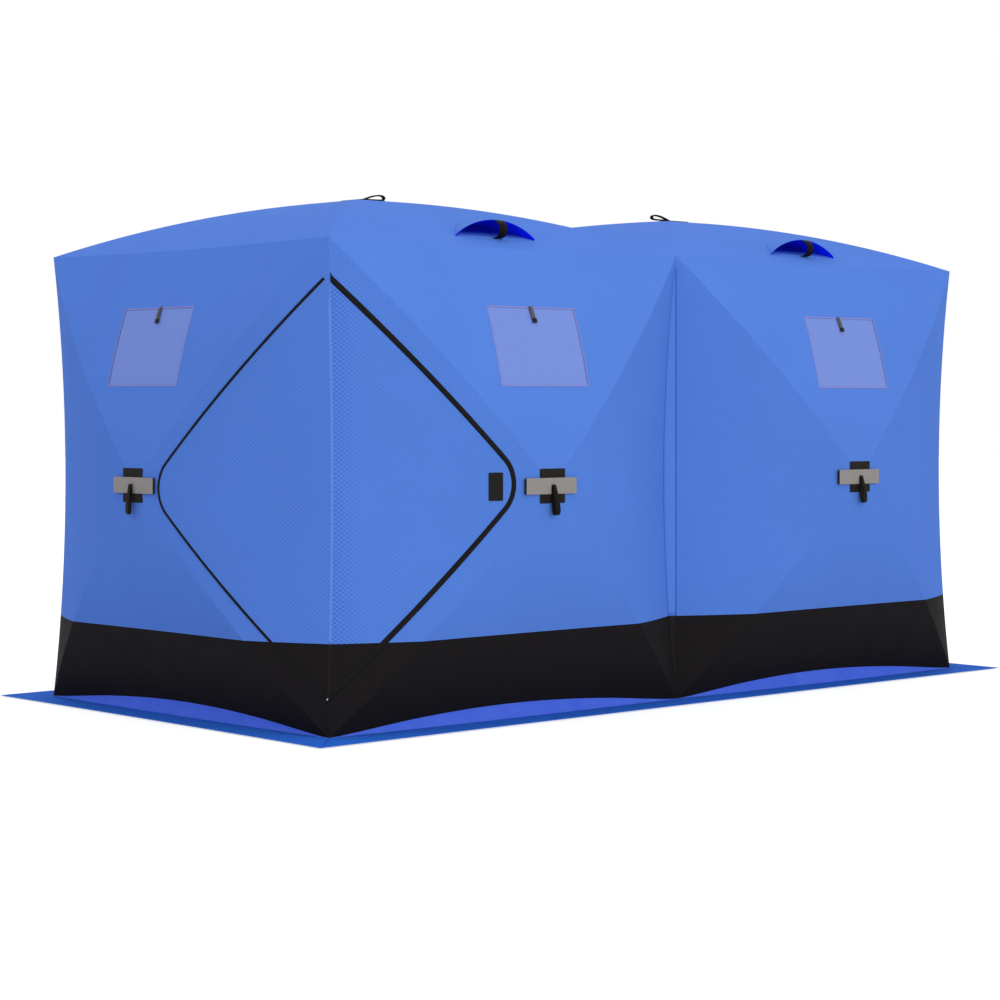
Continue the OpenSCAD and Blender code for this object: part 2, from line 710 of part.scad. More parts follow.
module front_poles() { color(grey) { poles(front_left); poles(front_right); } }
module back_poles() { half_turn() front_poles(); }
module end_poles() { color(grey) both_turns() poles(left_end); }
module roof_poles() { color(grey) both_turns() poles(roof_left); }
module hubs() {
    color(black) {
        at_wall_hubs() hub_body(wall_base);
        both_turns() at_roof_hub(-half_bay) hub_body(roof_base);
    }
}

// ---- Skirt.

module front_skirt() { color(skirt_blue) skirt(2, 2 * bay_len, half_d); }
module back_skirt() { half_turn() front_skirt(); }
module left_skirt() { color(skirt_blue) rotate([0, 0, -90]) skirt(1, depth, bay_len); }
module right_skirt() { half_turn() left_skirt(); }

front_left_centre_panels();
front_left_side_panels();
front_left_base_band();
front_right_centre_panels();
front_right_side_panels();
front_right_base_band();
left_end_centre_panels();
left_end_side_panels();
left_end_base_band();
back_left_centre_panels();
back_left_side_panels();
back_left_base_band();
back_right_centre_panels();
back_right_side_panels();
back_right_base_band();
right_end_centre_panels();
right_end_side_panels();
right_end_base_band();
roof_left_vent_slopes();
roof_left_cross_slopes();
roof_right_vent_slopes();
roof_right_cross_slopes();
front_windows();
back_windows();
end_windows();
window_ties();
front_door();
back_door();
door_lower_tips();
door_zips();
door_pipings();
door_tabs();
zip_pulls();
hub_patches();
reflective_strips();
pull_straps();
roof_loops();
front_poles();
back_poles();
end_poles();
roof_poles();
hubs();
vent_hoods();
vent_props();
front_skirt();
back_skirt();
left_skirt();
right_skirt();
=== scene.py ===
# %% [markdown]
# # A two-bay pop-up ice fishing shelter
# The shelter is a cube of padded cloth, twice as long as it is deep. Sprung poles push a hub out of
# the middle of every wall and out of each bay's roof, so the cloth is as tight as a drum and every
# wall is four shallow triangles that meet at the hub. The lesson builds it from the ground up:
# camera, studio light, finishes, walls, doors, windows, roof, trim, frame and snow skirt.

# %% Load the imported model
import math

import bmesh
import bpy
import numpy as np
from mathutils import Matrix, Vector


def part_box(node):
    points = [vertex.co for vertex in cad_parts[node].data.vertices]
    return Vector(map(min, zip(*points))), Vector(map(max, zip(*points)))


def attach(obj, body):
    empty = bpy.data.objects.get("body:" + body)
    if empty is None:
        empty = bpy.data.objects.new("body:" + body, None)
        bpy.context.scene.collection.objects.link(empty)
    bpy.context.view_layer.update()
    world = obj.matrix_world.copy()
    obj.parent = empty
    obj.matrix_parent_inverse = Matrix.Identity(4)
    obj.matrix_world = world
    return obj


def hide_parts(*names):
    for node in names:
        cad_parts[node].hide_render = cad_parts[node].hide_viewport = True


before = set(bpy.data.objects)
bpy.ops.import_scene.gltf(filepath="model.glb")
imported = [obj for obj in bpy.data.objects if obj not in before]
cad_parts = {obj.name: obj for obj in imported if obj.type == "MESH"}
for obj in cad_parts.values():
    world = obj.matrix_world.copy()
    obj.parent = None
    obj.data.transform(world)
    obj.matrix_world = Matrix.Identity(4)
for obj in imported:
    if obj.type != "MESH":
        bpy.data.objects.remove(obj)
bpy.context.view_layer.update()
print("CAD nodes:", len(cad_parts))

# %% [markdown]
# ## Sizes
# Every size is in metres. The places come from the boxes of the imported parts. The bows and arches
# of the cloth can't be read from a box, so they are repeated here as the part's source states them.

# %% Read the sizes of the shelter
HALF_LENGTH = -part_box("front_left_side_panels")[0].x
HALF_DEPTH = -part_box("left_end_side_panels")[0].y
WALL_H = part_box("left_end_side_panels")[1].z
BAND_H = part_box("front_right_base_band")[1].z
HUB_H = (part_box("reflective_strips")[0].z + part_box("reflective_strips")[1].z) / 2
BAY = HALF_LENGTH
HALF_BAY = BAY / 2
WALL_OUT = 0.220       # how far a wall hub stands out
ROOF_OUT = 0.230       # how far a roof hub stands up
ARCH = 0.045           # extra arch of a sprung pole
CORNER = (0.0345, 0.0345)       # bow of a plain corner edge: along the wall, and inwards
DOOR_FRONT = (0.042, 0.026)     # bow of the door's corner on the front, and on the end wall
DOOR_END = (0.026, 0.042)
SEAM = (0.0, 0.070)    # bow of the seam between the bays
SEAM_RISE = 0.130      # rise of the roof seam between the bays
EAVE_SAG = 0.010       # sag of an eave
HEM_RISE = 0.057       # rise of the hem in the middle of a bay
HUB_END = 1 - 0.080 / 1.8   # where the cloth stops at a hub, from 0 at the edge to 1
CLOTH = 0.005          # thickness of the padded cloth that is shown
CREASE = 4             # folds of the cloth of more than this many degrees look sharp
print("half length, half depth, wall, band, hub:",
      [round(v, 3) for v in (HALF_LENGTH, HALF_DEPTH, WALL_H, BAND_H, HUB_H)])

# %% [markdown]
# ## Camera
# A long lens from far away keeps the walls' upright edges parallel. The camera is level, at about
# chest height, and the picture is slid down with the lens shift instead of tilting the camera.

# %% Place the camera
camera_data = bpy.data.cameras.new("camera")
camera_data.sensor_width, camera_data.lens = 36, 91.90
camera_data.shift_y, camera_data.clip_end = -0.09665, 200
camera = bpy.data.objects.new("camera", camera_data)
bpy.context.collection.objects.link(camera)
camera.location = (-7.530, -8.046, 1.202)
camera.rotation_euler = (np.pi / 2, 0, -np.radians(42.56))
bpy.context.scene.camera = camera
print("camera stands", round((Vector((0, 0, 1)) - camera.location).length, 2), "m from the middle")

# %% [markdown]
# ## Studio
# Cloth shows its colour best in wide soft light. The world gives most of it, and two large lamps
# give the walls a bright and a dim side. The floor is pale. Where it is seen, straight or reflected,
# it also glows a little, which lifts it to white without lighting the cloth, and it keeps the shadow.

# %% Helpers for node trees
class Nodes:
    """A node tree written as a short list of nodes, for a material or a world that owns it."""

    def __init__(self, owner, output="OutputMaterial"):
        owner.use_nodes = True
        self.owner, self.tree = owner, owner.node_tree
        self.tree.nodes.clear()
        self.out = self.add(output)

    def add(self, kind, values=None, **settings):
        """Adds a node of a kind, sets its settings, and sets or links its inputs by name or number."""
        node = self.tree.nodes.new("ShaderNode" + kind)
        for key, value in settings.items():
            setattr(node, key, value)
        for key, value in (values or {}).items():
            if isinstance(value, bpy.types.NodeSocket):
                self.tree.links.new(value, node.inputs[key])
            else:
                node.inputs[key].default_value = value
        return node

    def math(self, operation, a, b=0.0):
        """One sum on two numbers or sockets."""
        return self.add("Math", {0: a, 1: b}, operation=operation).outputs[0]

    def blend(self, factor, a, b):
        """Mixes two colours, by a factor from 0 to 1."""
        return self.add("Mix", {0: factor, 6: a, 7: b}, data_type="RGBA").outputs[2]

    def ramp(self, value, low, high, first=0.0, last=1.0, **settings):
        """Carries the range from low to high over to the range from first to last."""
        return self.add("MapRange", {0: value, 1: low, 2: high, 3: first, 4: last}, **settings).outputs[0]

    def noise(self, place, scale, detail=3.0, rough=0.5):
        """Cloudy noise of a scale, finer with more detail, and harsher when rough."""
        values = {"Vector": place, "Scale": scale, "Detail": detail, "Roughness": rough}
        return self.add("TexNoise", values).outputs[0]

    def direct_view(self):
        """1 for the rays that show the background: from the camera, in a reflection, through glass."""
        path = self.add("LightPath").outputs
        seen = self.math("MAXIMUM", path["Is Camera Ray"], path["Is Glossy Ray"])
        return self.math("MAXIMUM", seen, path["Is Transmission Ray"])

    def surface(self, tone, rough, specular, strength, depth, height):
        """A shader of a colour, roughness and shine, with a bump of a strength and depth from a height."""
        bump = self.add("Bump", {"Strength": strength, "Distance": depth, "Height": height})
        return self.add("BsdfPrincipled", {"Base Color": tone, "Roughness": rough,
                                           "Specular IOR Level": specular, "Normal": bump.outputs[0]})

    def end(self, shader):
        """Sends a shader to the output and returns the finished material or world."""
        self.tree.links.new(shader.outputs[0], self.out.inputs[0])
        return self.owner


def linear(red, green, blue):
    """A colour as a screen shows it, 0 to 255, turned into linear light: ((c + 0.055) / 1.055) ^ 2.4."""
    c = np.array([red, green, blue]) / 255
    light = np.where(c <= 0.04045, c / 12.92, ((c + 0.055) / 1.055) ** 2.4)
    return (*map(float, light), 1.0)


# %% Floor and world
f = Nodes(bpy.data.materials.new("floor"))
pale = f.add("BsdfDiffuse", {"Color": (0.62, 0.62, 0.62, 1)})
glow = f.add("Emission", {"Color": (1, 1, 1, 1), "Strength": f.math("MULTIPLY", f.direct_view(), 0.62)})
floor_material = f.end(f.add("AddShader", {0: pale.outputs[0], 1: glow.outputs[0]}))

floor_mesh = bpy.data.meshes.new("floor")
floor_mesh.from_pydata([(-40, -40, 0), (40, -40, 0), (40, 40, 0), (-40, 40, 0)], [], [(0, 1, 2, 3)])
floor = bpy.data.objects.new("floor", floor_mesh)
floor.location.z = -0.001
floor_mesh.materials.append(floor_material)
bpy.context.collection.objects.link(floor)

world = bpy.data.worlds.new("world")
bpy.context.scene.world = world
f = Nodes(world, "OutputWorld")
ambient = f.add("Background", {0: (0.94, 0.965, 1.06, 1), 1: 0.955})
white = f.add("Background", {0: (1, 1, 1, 1), 1: 1.0})
f.end(f.add("MixShader", {0: f.direct_view(), 1: ambient.outputs[0], 2: white.outputs[0]}))
bpy.context.scene.view_settings.view_transform = "Standard"


# %% Lamps
def lamp(name, place, aim, size, power, colour):
    """A square lamp at a place, turned so that it shines at a point."""
    data = bpy.data.lights.new(name, "AREA")
    data.size, data.energy, data.color = size, power, colour
    made = bpy.data.objects.new(name, data)
    made.location = place
    made.rotation_euler = (Vector(aim) - Vector(place)).to_track_quat("-Z", "Y").to_euler()
    bpy.context.collection.objects.link(made)


lamp("key", (-3.0, -12.0, 3.0), (0, 0, 1), 6.0, 370, (1.0, 0.97, 0.8))
lamp("back", (2.0, 10.0, 7.0), (0, 0, 1), 7.0, 30, (1.0, 1.0, 1.0))
print("lamps ready")

# %% [markdown]
# ## Finishes
# The cloth is a polyester face quilted over padding. Close up it has a fine weave and a net of small
# stitched diamonds. Both follow the cloth, so they read the piece's own UV map, which is laid out
# in metres along and up the wall. The diamonds come from two crossing families of lines: the height
# of the padding is |sin(pi (u + v))| times |sin(pi (u - v))|, which is zero on every seam. On a
# door the seams are painted darker beside its corner, a painted shade that fades further on.

# %% Padded cloth
DIAMOND = (0.019, 0.0165)    # width and height of a stitched diamond
CORNER_SHADE_SPAN = (0.02, 0.12)         # where the painted shade on the seams beside a door's corner starts and stops fading
SEAM_SHADE = 0.30            # how far a plain seam darkens


def padded_cloth(name, colour, seam_colour, quilt, corner_shade=0.0, rough=0.82):
    """Quilted cloth in a colour, with seams of a darker one as deep as the quilt says. The seams may be
    painted darker beside the wall's left edge, a painted shade. The height is the quilting's, the
    weave's and the crumple's sum."""
    f = Nodes(bpy.data.materials.new(name))
    uv = f.add("UVMap", uv_map="cloth").outputs[0]
    parts = f.add("SeparateXYZ", {0: uv}).outputs
    u, v = (f.math("DIVIDE", parts[i], DIAMOND[i]) for i in (0, 1))
    lines = [f.math("ABSOLUTE", f.math("SINE", f.math("MULTIPLY", f.math(kind, u, v), np.pi)))
             for kind in ("ADD", "SUBTRACT")]
    pad = f.math("POWER", f.math("MULTIPLY", *lines), 0.45)
    cloud = f.noise(uv, 1.7, 3.0, 0.55)
    crumple = f.noise(uv, 9.0, 4.0, 0.6)
    threads = f.noise(uv, 620.0, 1.0)
    tone = f.blend(f.ramp(cloud, 0.3, 0.7), tuple(c * 0.95 for c in colour[:3]) + (1,), colour)
    # The seam's darkness: the thread's own darker colour, with painted shade added beside the wall's left
    # edge.
    pull = f.ramp(parts[0], *CORNER_SHADE_SPAN, SEAM_SHADE + corner_shade, SEAM_SHADE)
    seam = f.math("MULTIPLY", f.ramp(pad, 0.0, 0.66, 1.0, 0.0), f.math("MULTIPLY", pull, quilt))
    tone = f.blend(seam, tone, seam_colour)
    rise = f.math("ADD", f.math("MULTIPLY", pad, 0.6 * quilt), f.math("MULTIPLY", threads, 0.10))
    rise = f.math("ADD", rise, f.math("MULTIPLY", crumple, 0.7))
    polish = f.ramp(crumple, 0.3, 0.7, rough - 0.05, rough + 0.05)
    return f.end(f.surface(tone, polish, 0.05, 0.5, 0.003, rise))


BLUE = linear(86, 130, 216)
quilted_blue = padded_cloth("quilted_blue", BLUE, linear(50, 88, 196), 1.0)
# The door's cloth: its seams beside the corner are painted darker, a painted shade.
door_blue_corner_shade = padded_cloth("door_blue_corner_shade", BLUE, linear(44, 80, 194), 1.0, corner_shade=0.9)
smooth_blue = padded_cloth("smooth_blue", BLUE, linear(66, 104, 205), 0.2)
quilted_black = padded_cloth("quilted_black", linear(28, 25, 26), linear(17, 15, 16), 0.8, rough=0.75)
print("cloth finishes:", quilted_blue.name, smooth_blue.name, quilted_black.name)


# %% Thin cloth, vinyl, webbing and hard parts
def plain_finish(name, colour, dark, scale, depth, rough, stretch=(1, 1, 1), metal=0.0, alpha=1.0,
                 specular=0.5, glow=(0, 0, 0, 1)):
    """A finish with a grain: noise of a scale stretched on object coordinates mixes two colours and
    raises a bump of a depth. Its glow is painted light: an even emission, though the finish is no lamp."""
    f = Nodes(bpy.data.materials.new(name))
    place = f.add("Mapping", {0: f.add("TexCoord").outputs["Object"], 3: stretch}).outputs[0]
    grain = f.noise(place, scale, 3.0, 0.6)
    cloud = f.noise(place, scale * 0.04, 2.0)
    amount = f.ramp(f.math("ADD", f.math("MULTIPLY", grain, 0.6), f.math("MULTIPLY", cloud, 0.4)), 0.35, 0.65)
    polish = f.ramp(grain, 0.3, 0.7, rough - 0.08, rough + 0.08)
    shader = f.surface(f.blend(amount, dark, colour), polish, specular, 0.5, depth, grain)
    for socket, value in (("Metallic", metal), ("Alpha", alpha), ("Emission Color", glow),
                          ("Emission Strength", 1.0)):
        shader.inputs[socket].default_value = value
    return f.end(shader)


def woven(name, colour, dark, pitch, depth, rough=0.7, specular=0.15):
    """Coarse weave: threads over and under each other, as sin(x) times sin(y) on the piece's UV map."""
    f = Nodes(bpy.data.materials.new(name))
    uv = f.add("UVMap", uv_map="cloth").outputs[0]
    parts = f.add("SeparateXYZ", {0: uv}).outputs
    waves = [f.math("SINE", f.math("MULTIPLY", parts[i], 2 * np.pi / pitch)) for i in (0, 1)]
    weave = f.math("MULTIPLY", *waves)
    fuzz = f.noise(uv, 240.0)
    amount = f.ramp(f.math("ADD", f.math("MULTIPLY", weave, 0.25), fuzz), 0.2, 0.8)
    rise = f.math("ADD", weave, fuzz)
    return f.end(f.surface(f.blend(amount, dark, colour), rough, specular, 0.6, depth, rise))


webbing = woven("webbing", linear(22, 20, 20), linear(8, 7, 7), 0.0022, 0.0004, 0.45, 0.05)
patch_cloth = woven("patch_cloth", linear(35, 33, 30), linear(17, 16, 14), 0.0045, 0.0010, 0.8)
tape_grey = woven("tape_grey", linear(152, 146, 142), linear(134, 129, 125), 0.0060, 0.0004, 0.45)
zip_tape = woven("zip_tape", linear(17, 16, 18), linear(8, 7, 9), 0.0018, 0.0004, 0.7)
skirt_cloth = plain_finish("skirt_cloth", linear(49, 110, 210), linear(42, 101, 203), 260, 0.0004, 0.8,
                           specular=0.03)
# The rising part is the same nylon as the flat part, painted lighter and more violet: painted light.
skirt_rise_painted_light = plain_finish("skirt_rise_painted_light", linear(82, 114, 226), linear(70, 102, 218), 260, 0.0004, 0.8,
                          specular=0.05)
# The hood's back face glows faintly: a painted glow, emitted light where there is no lamp.
hood_painted_glow = linear(1, 4, 78)
hood_inside_painted_glow = plain_finish("hood_inside_painted_glow", linear(8, 30, 222), linear(4, 22, 212), 300, 0.0004, 0.8,
                           specular=0.02, glow=hood_painted_glow)
vinyl = plain_finish("vinyl", linear(121, 145, 217), linear(117, 141, 214), 40, 0.0002, 0.5, alpha=0.95,
                     specular=0.12)
rod = plain_finish("rod", linear(196, 196, 190), linear(170, 170, 164), 300, 0.0002, 0.4, (1, 1, 0.2))
moulding = plain_finish("moulding", linear(26, 26, 27), linear(16, 16, 17), 420, 0.0003, 0.45, specular=0.15)
bright = plain_finish("bright", linear(206, 206, 210), linear(170, 170, 176), 500, 0.0001, 0.3, metal=1.0)
thread_blue = plain_finish("thread_blue", linear(20, 46, 156), linear(16, 38, 142), 900, 0.0002, 0.6,
                           specular=0.1)
print("finishes:", len(bpy.data.materials))

# %% [markdown]
# ## From surfaces to meshes
# Each piece of cloth is a function of two numbers on a grid. The helpers below turn grids of points
# into one mesh, weld the points that coincide, store the cloth's own coordinates as a UV map, and
# let Solidify give the sheet its thickness, inwards from the outer face. For stretched cloth the
# rectangle that it was cut from is given, and the area of its faces is read, though nothing uses it.

# %% Build a piece from grids
def pairs(a, b):
    """Two coordinates of every grid point side by side."""
    return np.stack(np.broadcast_arrays(a, b), -1)


def distances(line):
    """How far each point of a line is from its start, along the line."""
    return np.append(0, np.cumsum(np.linalg.norm(np.diff(line, axis=0), axis=1)))


def bulge(s, t=0.0):
    """The shape of a free edge's bow: 4 s (1 - s) (1 - t)^2, one in its middle and none at its ends."""
    return 4 * s * (1 - s) * (1 - t) ** 2


def turned(grids):
    """The grids of the opposite wall, half a turn about the upright axis: x and y change sign."""
    return [(g[0] * np.array([-1, -1, 1]), *g[1:]) for g in grids]


def both_ways(grids):
    """Grids and their half-turn twins."""
    return grids + turned(grids)


WELD = 2e-5    # points closer than this are one point


def build(name, grids, material, thickness=0.0):
    """Makes one object from a list of (points, uv) or (points, uv, keep) grids. Points run in rows, so
    that the way along a row and then the way to the next row turn anticlockwise seen from outside.
    The material may be a pair: of the outer face, and of the inner one."""
    points, uvs, faces, start = [], [], [], 0
    for grid in grids:
        p, uv = grid[0], grid[1]
        rows, cols = p.shape[:2]
        index = start + np.arange(rows * cols).reshape(rows, cols)
        quads = np.stack([index[:-1, :-1], index[:-1, 1:], index[1:, 1:], index[1:, :-1]], -1)
        keep = grid[2] if len(grid) > 2 else np.ones((rows - 1, cols - 1), bool)
        faces.append(quads[keep])
        points.append(p.reshape(-1, 3))
        uvs.append(np.broadcast_to(uv, p.shape[:2] + (2,)).reshape(-1, 2))
        start += rows * cols
    points, uvs, faces = np.concatenate(points), np.concatenate(uvs), np.concatenate(faces)
    mesh = bpy.data.meshes.new(name)
    mesh.from_pydata(points, [], faces.tolist())
    layer = mesh.uv_layers.new(name="cloth")
    layer.data.foreach_set("uv", uvs[faces.ravel()].astype(np.float32).ravel())
    work = bmesh.new()
    work.from_mesh(mesh)
    bmesh.ops.remove_doubles(work, verts=work.verts, dist=WELD)
    bmesh.ops.dissolve_degenerate(work, edges=work.edges, dist=WELD)
    loose = [v for v in work.verts if not v.link_faces]
    bmesh.ops.delete(work, geom=loose, context="VERTS")
    work.to_mesh(mesh)
    work.free()
    mesh.polygons.foreach_set("use_smooth", np.ones(len(mesh.polygons), bool))
    sides = material if isinstance(material, list) else [material]
    for side in sides:
        mesh.materials.append(side)
    made = bpy.data.objects.new(name, mesh)
    bpy.context.collection.objects.link(made)
    if thickness:
        solid = made.modifiers.new("thickness", "SOLIDIFY")
        solid.thickness, solid.offset, solid.use_rim = thickness, -1, True
        solid.material_offset = len(sides) - 1
    return made


def sharpen(piece, angle):
    """Marks as sharp each edge where two faces meet at more than an angle, in degrees."""
    work = bmesh.new()
    work.from_mesh(piece.data)
    for edge in work.edges:
        edge.smooth = len(edge.link_faces) == 2 and edge.calc_face_angle(0) < math.radians(angle)
    work.to_mesh(piece.data)
    work.free()


def declare(piece):
    """Reads the area of every face of a taut sheet, both layers. The areas are not used."""
    mesh = piece.evaluated_get(bpy.context.evaluated_depsgraph_get()).to_mesh()
    areas = np.zeros(len(mesh.polygons), np.float32)
    mesh.polygons.foreach_get("area", areas)


pieces_made = []


def sew(name, grids, material, nodes=(), thickness=0.0, flat=None, rests_on=(), crease=None):
    """Builds a piece that rides on the shelter's body, and hides the CAD nodes it
    stands for. For a piece given the flat rectangle it was cut from, the areas of its faces are read,
    and they are not used. Folds of more than the crease, in degrees, are marked as sharp."""
    piece = build(name, grids, material, thickness)
    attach(piece, "root")
    if nodes:
        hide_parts(*nodes)
    if flat:
        declare(piece)
    if crease:
        sharpen(piece, crease)
    pieces_made.append(name)
    print("sewn:", name, "with", len(piece.data.polygons), "faces")


# %% [markdown]
# ## Walls
# A wall is described in its own coordinates: w along it from the left corner, z up, and out away from
# the shelter. The folds run straight from the corners to the hub, arched outwards a little by the
# poles. Between two folds the cloth is stretched in straight lines, and only near the edges does it
# bow inwards, because nothing but its own tension holds it there. Writing each point as a fraction
# t from the edge to the hub gives all four triangles with the same few lines.

# %% The four walls' places
class Wall:
    """A wall of one bay: the place of its left bottom corner, the way along it, the way out of it,
    its width, the bows of its left and right edges, how far its window and its patch sit aside of
    its hub, and on which side of the hub the door is."""

    def __init__(self, corner, along, outward, width, left, right, shift, patch, door_side):
        self.corner, self.along, self.outward = map(np.array, (corner, along, outward))
        self.half = width / 2
        self.bow = (left, right)
        self.shift, self.patch, self.door_side = shift, patch, door_side

    def place(self, w, z, out):
        """Turns wall coordinates into metres in the frame."""
        w, z, out = np.broadcast_arrays(w, z, out)
        return (self.corner + w[..., None] * self.along + out[..., None] * self.outward
                + z[..., None] * np.array([0.0, 0.0, 1.0]))


def arched(t, rise):
    """Height of a fold at t: a straight rise to the hub, and an arch 4 t (1 - t)."""
    return rise * t + bulge(t) * ARCH


def side_at(wall, side, z, t):
    """A side triangle: at a height z, t runs from the edge to the hub. The share s of the height
    between the folds fades the bow, 4 s (1 - s) (1 - t)^2."""
    s = (z - t * HUB_H) / (WALL_H * (1 - t))
    along, inward = wall.bow[side]
    fade = bulge(s, t)
    w = wall.half * t + along * fade
    out = arched(t, WALL_OUT) - inward * fade
    return (w if side == 0 else 2 * wall.half - w), out


def side_t(wall, side, a, z):
    """The t at which a side triangle is at a distance a from its edge, found by repeating
    t = (a - bow) / half."""
    t = a / wall.half
    for _ in range(12):
        s = np.clip((z - t * HUB_H) / (WALL_H * (1 - t)), 0, 1)
        t = np.clip((a - bulge(s, t) * wall.bow[side][0]) / wall.half, 0, 0.97)
    return t


def fold_t(z):
    """The t of the fold at a height: z / hub below the hub, and (wall - z) / (wall - hub) above it."""
    return np.minimum(np.minimum(z / HUB_H, (WALL_H - z) / (WALL_H - HUB_H)), HUB_END)


front_left = Wall((-BAY, -HALF_DEPTH, 0), (1, 0, 0), (0, -1, 0), BAY, DOOR_FRONT, SEAM, 0.009, 0.0, -1)
front_right = Wall((0, -HALF_DEPTH, 0), (1, 0, 0), (0, -1, 0), BAY, SEAM, CORNER, 0.016, 0.0, -1)
left_end = Wall((-BAY, HALF_DEPTH, 0), (0, -1, 0), (-1, 0, 0), 2 * HALF_DEPTH,
                CORNER, DOOR_END, -0.021, -0.013, 1)
WALLS = {"front_left": front_left, "front_right": front_right, "left_end": left_end}
TWINS = {"front_left": "back_right", "front_right": "back_left", "left_end": "right_end"}
print("walls:", list(WALLS), "and their half-turn twins:", list(TWINS.values()))

# %% [markdown]
# The door is a diamond folded round the front left corner. Its outline is two straight lines from
# the corner, joined by an arc at the tip. It is needed before the walls, because the side
# triangles there stop where the door starts.

# %% The door's outline
ZIP_SIDE = {"tip": (HALF_BAY - 0.130, HUB_H + 0.011), "top": WALL_H - 0.136, "sill": 0.140}
FOLD_SIDE = {"tip": (HALF_DEPTH - 0.085, HUB_H - 0.010), "top": WALL_H - 0.121, "sill": 0.120}
TIP_RADIUS = 0.130    # radius of the arc at the tip


def door_outline(side, start=0.0):
    """Points of the outline with their outward normals: a straight line down to the arc, the arc
    centre + r (cos, sin), and a straight line back to the corner."""
    tip = np.array(side["tip"])
    up, down = np.array([-tip[0], side["top"] - tip[1]]), np.array([-tip[0], side["sill"] - tip[1]])
    up_n = np.array([up[1], -up[0]]) / np.linalg.norm(up)
    down_n = np.array([-down[1], down[0]]) / np.linalg.norm(down)
    angles = np.arctan2(up_n[1], up_n[0]), np.arctan2(down_n[1], down_n[0])
    middle = sum(angles) / 2
    reach = TIP_RADIUS / np.cos((angles[0] - angles[1]) / 2)
    centre = tip - reach * np.array([np.cos(middle), np.sin(middle)])
    turn = np.linspace(*angles, 25)
    arc_n = np.stack([np.cos(turn), np.sin(turn)], -1)
    arc = centre + TIP_RADIUS * arc_n
    run = np.linspace(0, 1, 70)[:, None]
    first = (tip + up * (1 - start / tip[0])) * (1 - run) + arc[0] * run
    last = arc[-1] * (1 - run) + (tip + down * (1 - start / tip[0])) * run
    line = np.concatenate([first[:-1], arc, last[1:]])
    normal = np.concatenate([np.repeat(up_n[None], 69, 0), arc_n, np.repeat(down_n[None], 69, 0)])
    return line, normal


def door_edge(side, z):
    """How far the door reaches from its corner at a height."""
    line, _ = door_outline(side)
    return np.interp(z, line[::-1, 1], line[::-1, 0], left=0.0, right=0.0)


print("door tip reaches", round(float(door_edge(ZIP_SIDE, np.array(HUB_H))), 3), "m along the front")


# %% The wall's triangles as grids
def levels(low, high, *stops, step=0.03):
    """Heights from low to high at about an even step, that include the stops."""
    ends = [low, *sorted(s for s in stops if low < s < high), high]
    runs = [np.linspace(a, b, max(2, int((b - a) / step) + 1))[:-1] for a, b in zip(ends[:-1], ends[1:])]
    return np.append(np.concatenate(runs), high)


def side_grid(wall, side, low, high, door=None, part="wall"):
    """The side triangle between two heights, without its door, or only its door. Rows go up, and
    each row runs from the edge or the door's outline to the fold, or from the edge to the outline."""
    z = levels(low, high, BAND_H, HUB_H, 0.5, 1.3)[:, None]
    inner, outer = np.zeros_like(z), fold_t(z)
    if door:
        reach = np.minimum(side_t(wall, side, door_edge(door, z), z), outer)
        inner, outer = (reach, outer) if part == "wall" else (inner, reach)
    v = np.linspace(0, 1, 34)[None, :]
    t = inner + v * (outer - inner)
    w, out = side_at(wall, side, z, t)
    grid = wall.place(w, z, out)
    uv = pairs(w, z)
    return (grid, uv) if side == 0 else (grid[:, ::-1], uv[:, ::-1])


def level_t(t, s, sag, height):
    """Lowers t where an edge sags, so that rows below the eave lie level."""
    return t - np.minimum(t / 0.2, 1) * bulge(s, t) * sag / height


BESIDE, ACROSS = 13, 15    # columns of cells beside and across an opening


def cut_columns(t, low, high, half):
    """Shares s of the width with columns on both edges of an opening that runs from low to high about
    the middle: s = 1/2 + edge / (2 half (1 - t))."""
    first, last = (np.clip(0.5 + edge / (2 * half * (1 - t)), 0.08, 0.92) for edge in (low, high))
    run, mid = np.linspace(0, 1, BESIDE + 1)[None, :-1], np.linspace(0, 1, ACROSS + 1)[None, :]
    return np.concatenate([first * run, first + (last - first) * mid, 1 - (1 - last) * run[:, ::-1]], 1)


def cloth_cells(t, s, first, last):
    """Which cells of a grid are cloth: all but those across the opening, with t from first to last."""
    keep = np.ones((len(t) - 1, s.shape[1] - 1), bool)
    row = (t[:-1, 0] > first - 1e-6) & (t[1:, 0] < last + 1e-6)
    keep[np.ix_(row, np.arange(BESIDE, BESIDE + ACROSS))] = False
    return keep


WINDOW_W, WINDOW_H, WINDOW_DROP = 0.450, 0.297, 0.234    # width, height, and drop below the eave


def top_grid(wall):
    """The top triangle, eave to hub, with its window left open. Rows go down to the hub, so they
    are turned round at the end."""
    rise = WALL_H - HUB_H
    first, last = WINDOW_DROP / rise, (WINDOW_DROP + WINDOW_H) / rise
    t = levels(0, HUB_END, first, last)[:, None]
    s = cut_columns(t, wall.shift - WINDOW_W / 2, wall.shift + WINDOW_W / 2, wall.half)
    tt = level_t(t, s, EAVE_SAG, rise)
    w = wall.half + (2 * s - 1) * wall.half * (1 - tt)
    z = WALL_H - tt * rise - bulge(s, tt) * EAVE_SAG
    grid = wall.place(w, z, arched(tt, WALL_OUT))
    return grid[::-1], pairs(w, z)[::-1], cloth_cells(t, s, first, last)[::-1]


